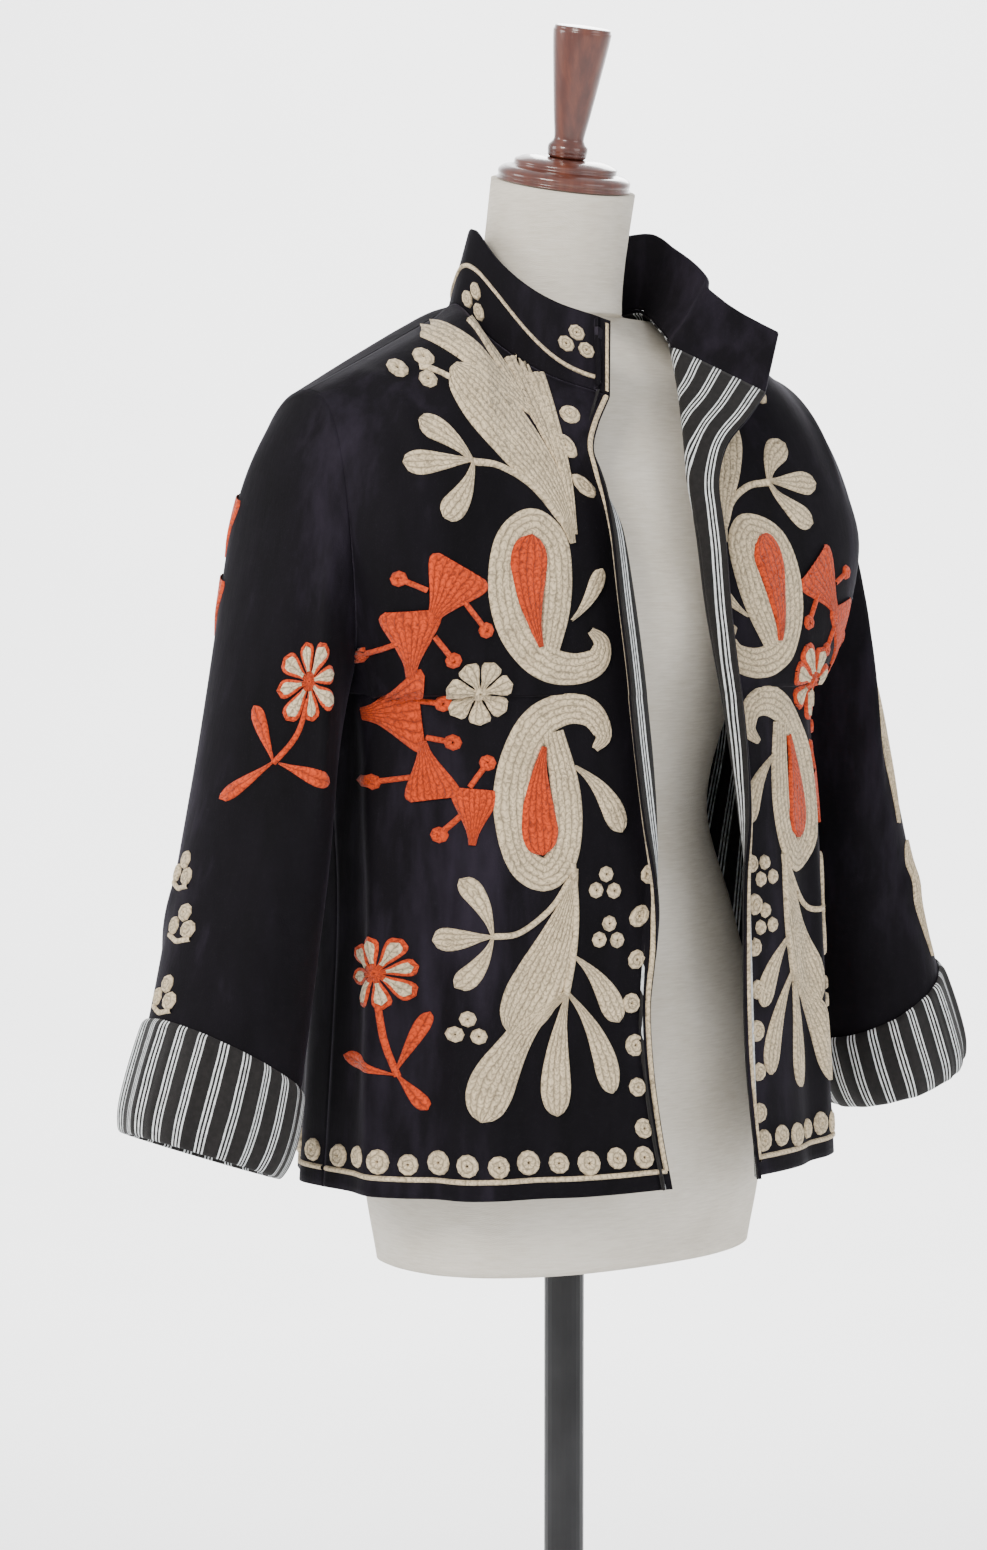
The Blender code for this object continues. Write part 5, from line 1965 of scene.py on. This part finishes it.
class JACKET_OT_form(bpy.types.Operator):
    """Build the linen dress form with its wooden cap and finial."""

    bl_idname = "jacket.form"
    bl_label = "Dress form"

    def execute(self, context):
        cover = form_piece()
        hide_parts("form_torso")
        cap, finial = cap_and_finial()
        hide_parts("neck_cap")
        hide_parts("finial")
        return {"FINISHED"}


class JACKET_OT_stage(bpy.types.Operator):
    """Build the floor, the lights and the camera."""

    bl_idname = "jacket.stage"
    bl_label = "Stage"

    def execute(self, context):
        settings = context.scene.jacket_light
        build_sweep()
        rows = (
            # name, power, size, place, target
            ("key", settings.key_power, 1.1, (-2.6, -1.3, 2.7), (0.0, 0.0, 1.15)),
            ("fill", settings.fill_power, 2.2, (1.2, -3.4, 1.9), (0.0, 0.0, 1.05)),
            ("rim", RIM_POWER, 1.0, (1.7, 1.6, 2.6), (0.0, 0.0, 1.2)),
            ("rim_left", RIM_LEFT_POWER, 1.0, (-2.2, 1.3, 2.0), (0.0, 0.0, 1.2)),
            ("backdrop", settings.backdrop_power, 3.0, (1.3, 1.7, 4.4), (4.2, 5.6, 1.6)),
        )
        for name, power, size, place, target in rows:
            light = bpy.data.lights.new(name, "AREA")
            light.energy = power
            light.size = size
            light.color = KEY_COLOUR if name == "key" else WHITE
            lamp = bpy.data.objects.new(name, light)
            lamp.visible_camera = False
            lamp.location = place
            lamp.rotation_euler = (Vector(target) - Vector(place)).to_track_quat("-Z", "Y").to_euler()
            bpy.data.collections[COLLECTION].objects.link(lamp)
        world = bpy.data.worlds.new("studio")
        world.use_nodes = True
        sky = world.node_tree.nodes["Background"]
        sky.inputs["Color"].default_value = SKY_COLOUR
        sky.inputs["Strength"].default_value = SKY_STRENGTH
        context.scene.world = world
        context.scene.camera = build_camera(settings.focal)
        return {"FINISHED"}


class JACKET_PT_panel(bpy.types.Panel):
    """The jacket's pieces and settings."""

    bl_label = "Embroidered jacket"
    bl_idname = "JACKET_PT_panel"
    bl_space_type = "VIEW_3D"
    bl_region_type = "UI"
    bl_category = "Jacket"

    def draw(self, context):
        scene = context.scene
        for settings in (scene.jacket_cloth, scene.jacket_colours, scene.jacket_light):
            for name in settings.__annotations__:
                self.layout.prop(settings, name)
        for operator in OPERATORS:
            self.layout.operator(operator.bl_idname)


OPERATORS = (
    JACKET_OT_materials,
    JACKET_OT_body,
    JACKET_OT_collar,
    JACKET_OT_linings,
    JACKET_OT_cuffs,
    JACKET_OT_embroidery,
    JACKET_OT_form,
    JACKET_OT_stage,
)
CLASSES = (JacketClothSettings, JacketColourSettings, JacketLightSettings, *OPERATORS, JACKET_PT_panel)


def register():
    """Make the settings, operators and panel known to Blender."""
    for cls in CLASSES:
        bpy.utils.register_class(cls)
    bpy.types.Scene.jacket_cloth = bpy.props.PointerProperty(type=JacketClothSettings)
    bpy.types.Scene.jacket_colours = bpy.props.PointerProperty(type=JacketColourSettings)
    bpy.types.Scene.jacket_light = bpy.props.PointerProperty(type=JacketLightSettings)


def unregister():
    """Take the settings, operators and panel away again."""
    del bpy.types.Scene.jacket_light
    del bpy.types.Scene.jacket_colours
    del bpy.types.Scene.jacket_cloth
    for cls in reversed(CLASSES):
        bpy.utils.unregister_class(cls)


def main():
    """Build the whole look."""
    register()
    holder = bpy.data.collections.new(COLLECTION)
    bpy.context.scene.collection.children.link(holder)
    bpy.ops.jacket.materials()
    bpy.ops.jacket.body()
    bpy.ops.jacket.collar()
    bpy.ops.jacket.linings()
    bpy.ops.jacket.cuffs()
    bpy.ops.jacket.embroidery()
    bpy.ops.jacket.form()
    bpy.ops.jacket.stage()


if __name__ == "__main__":
    main()
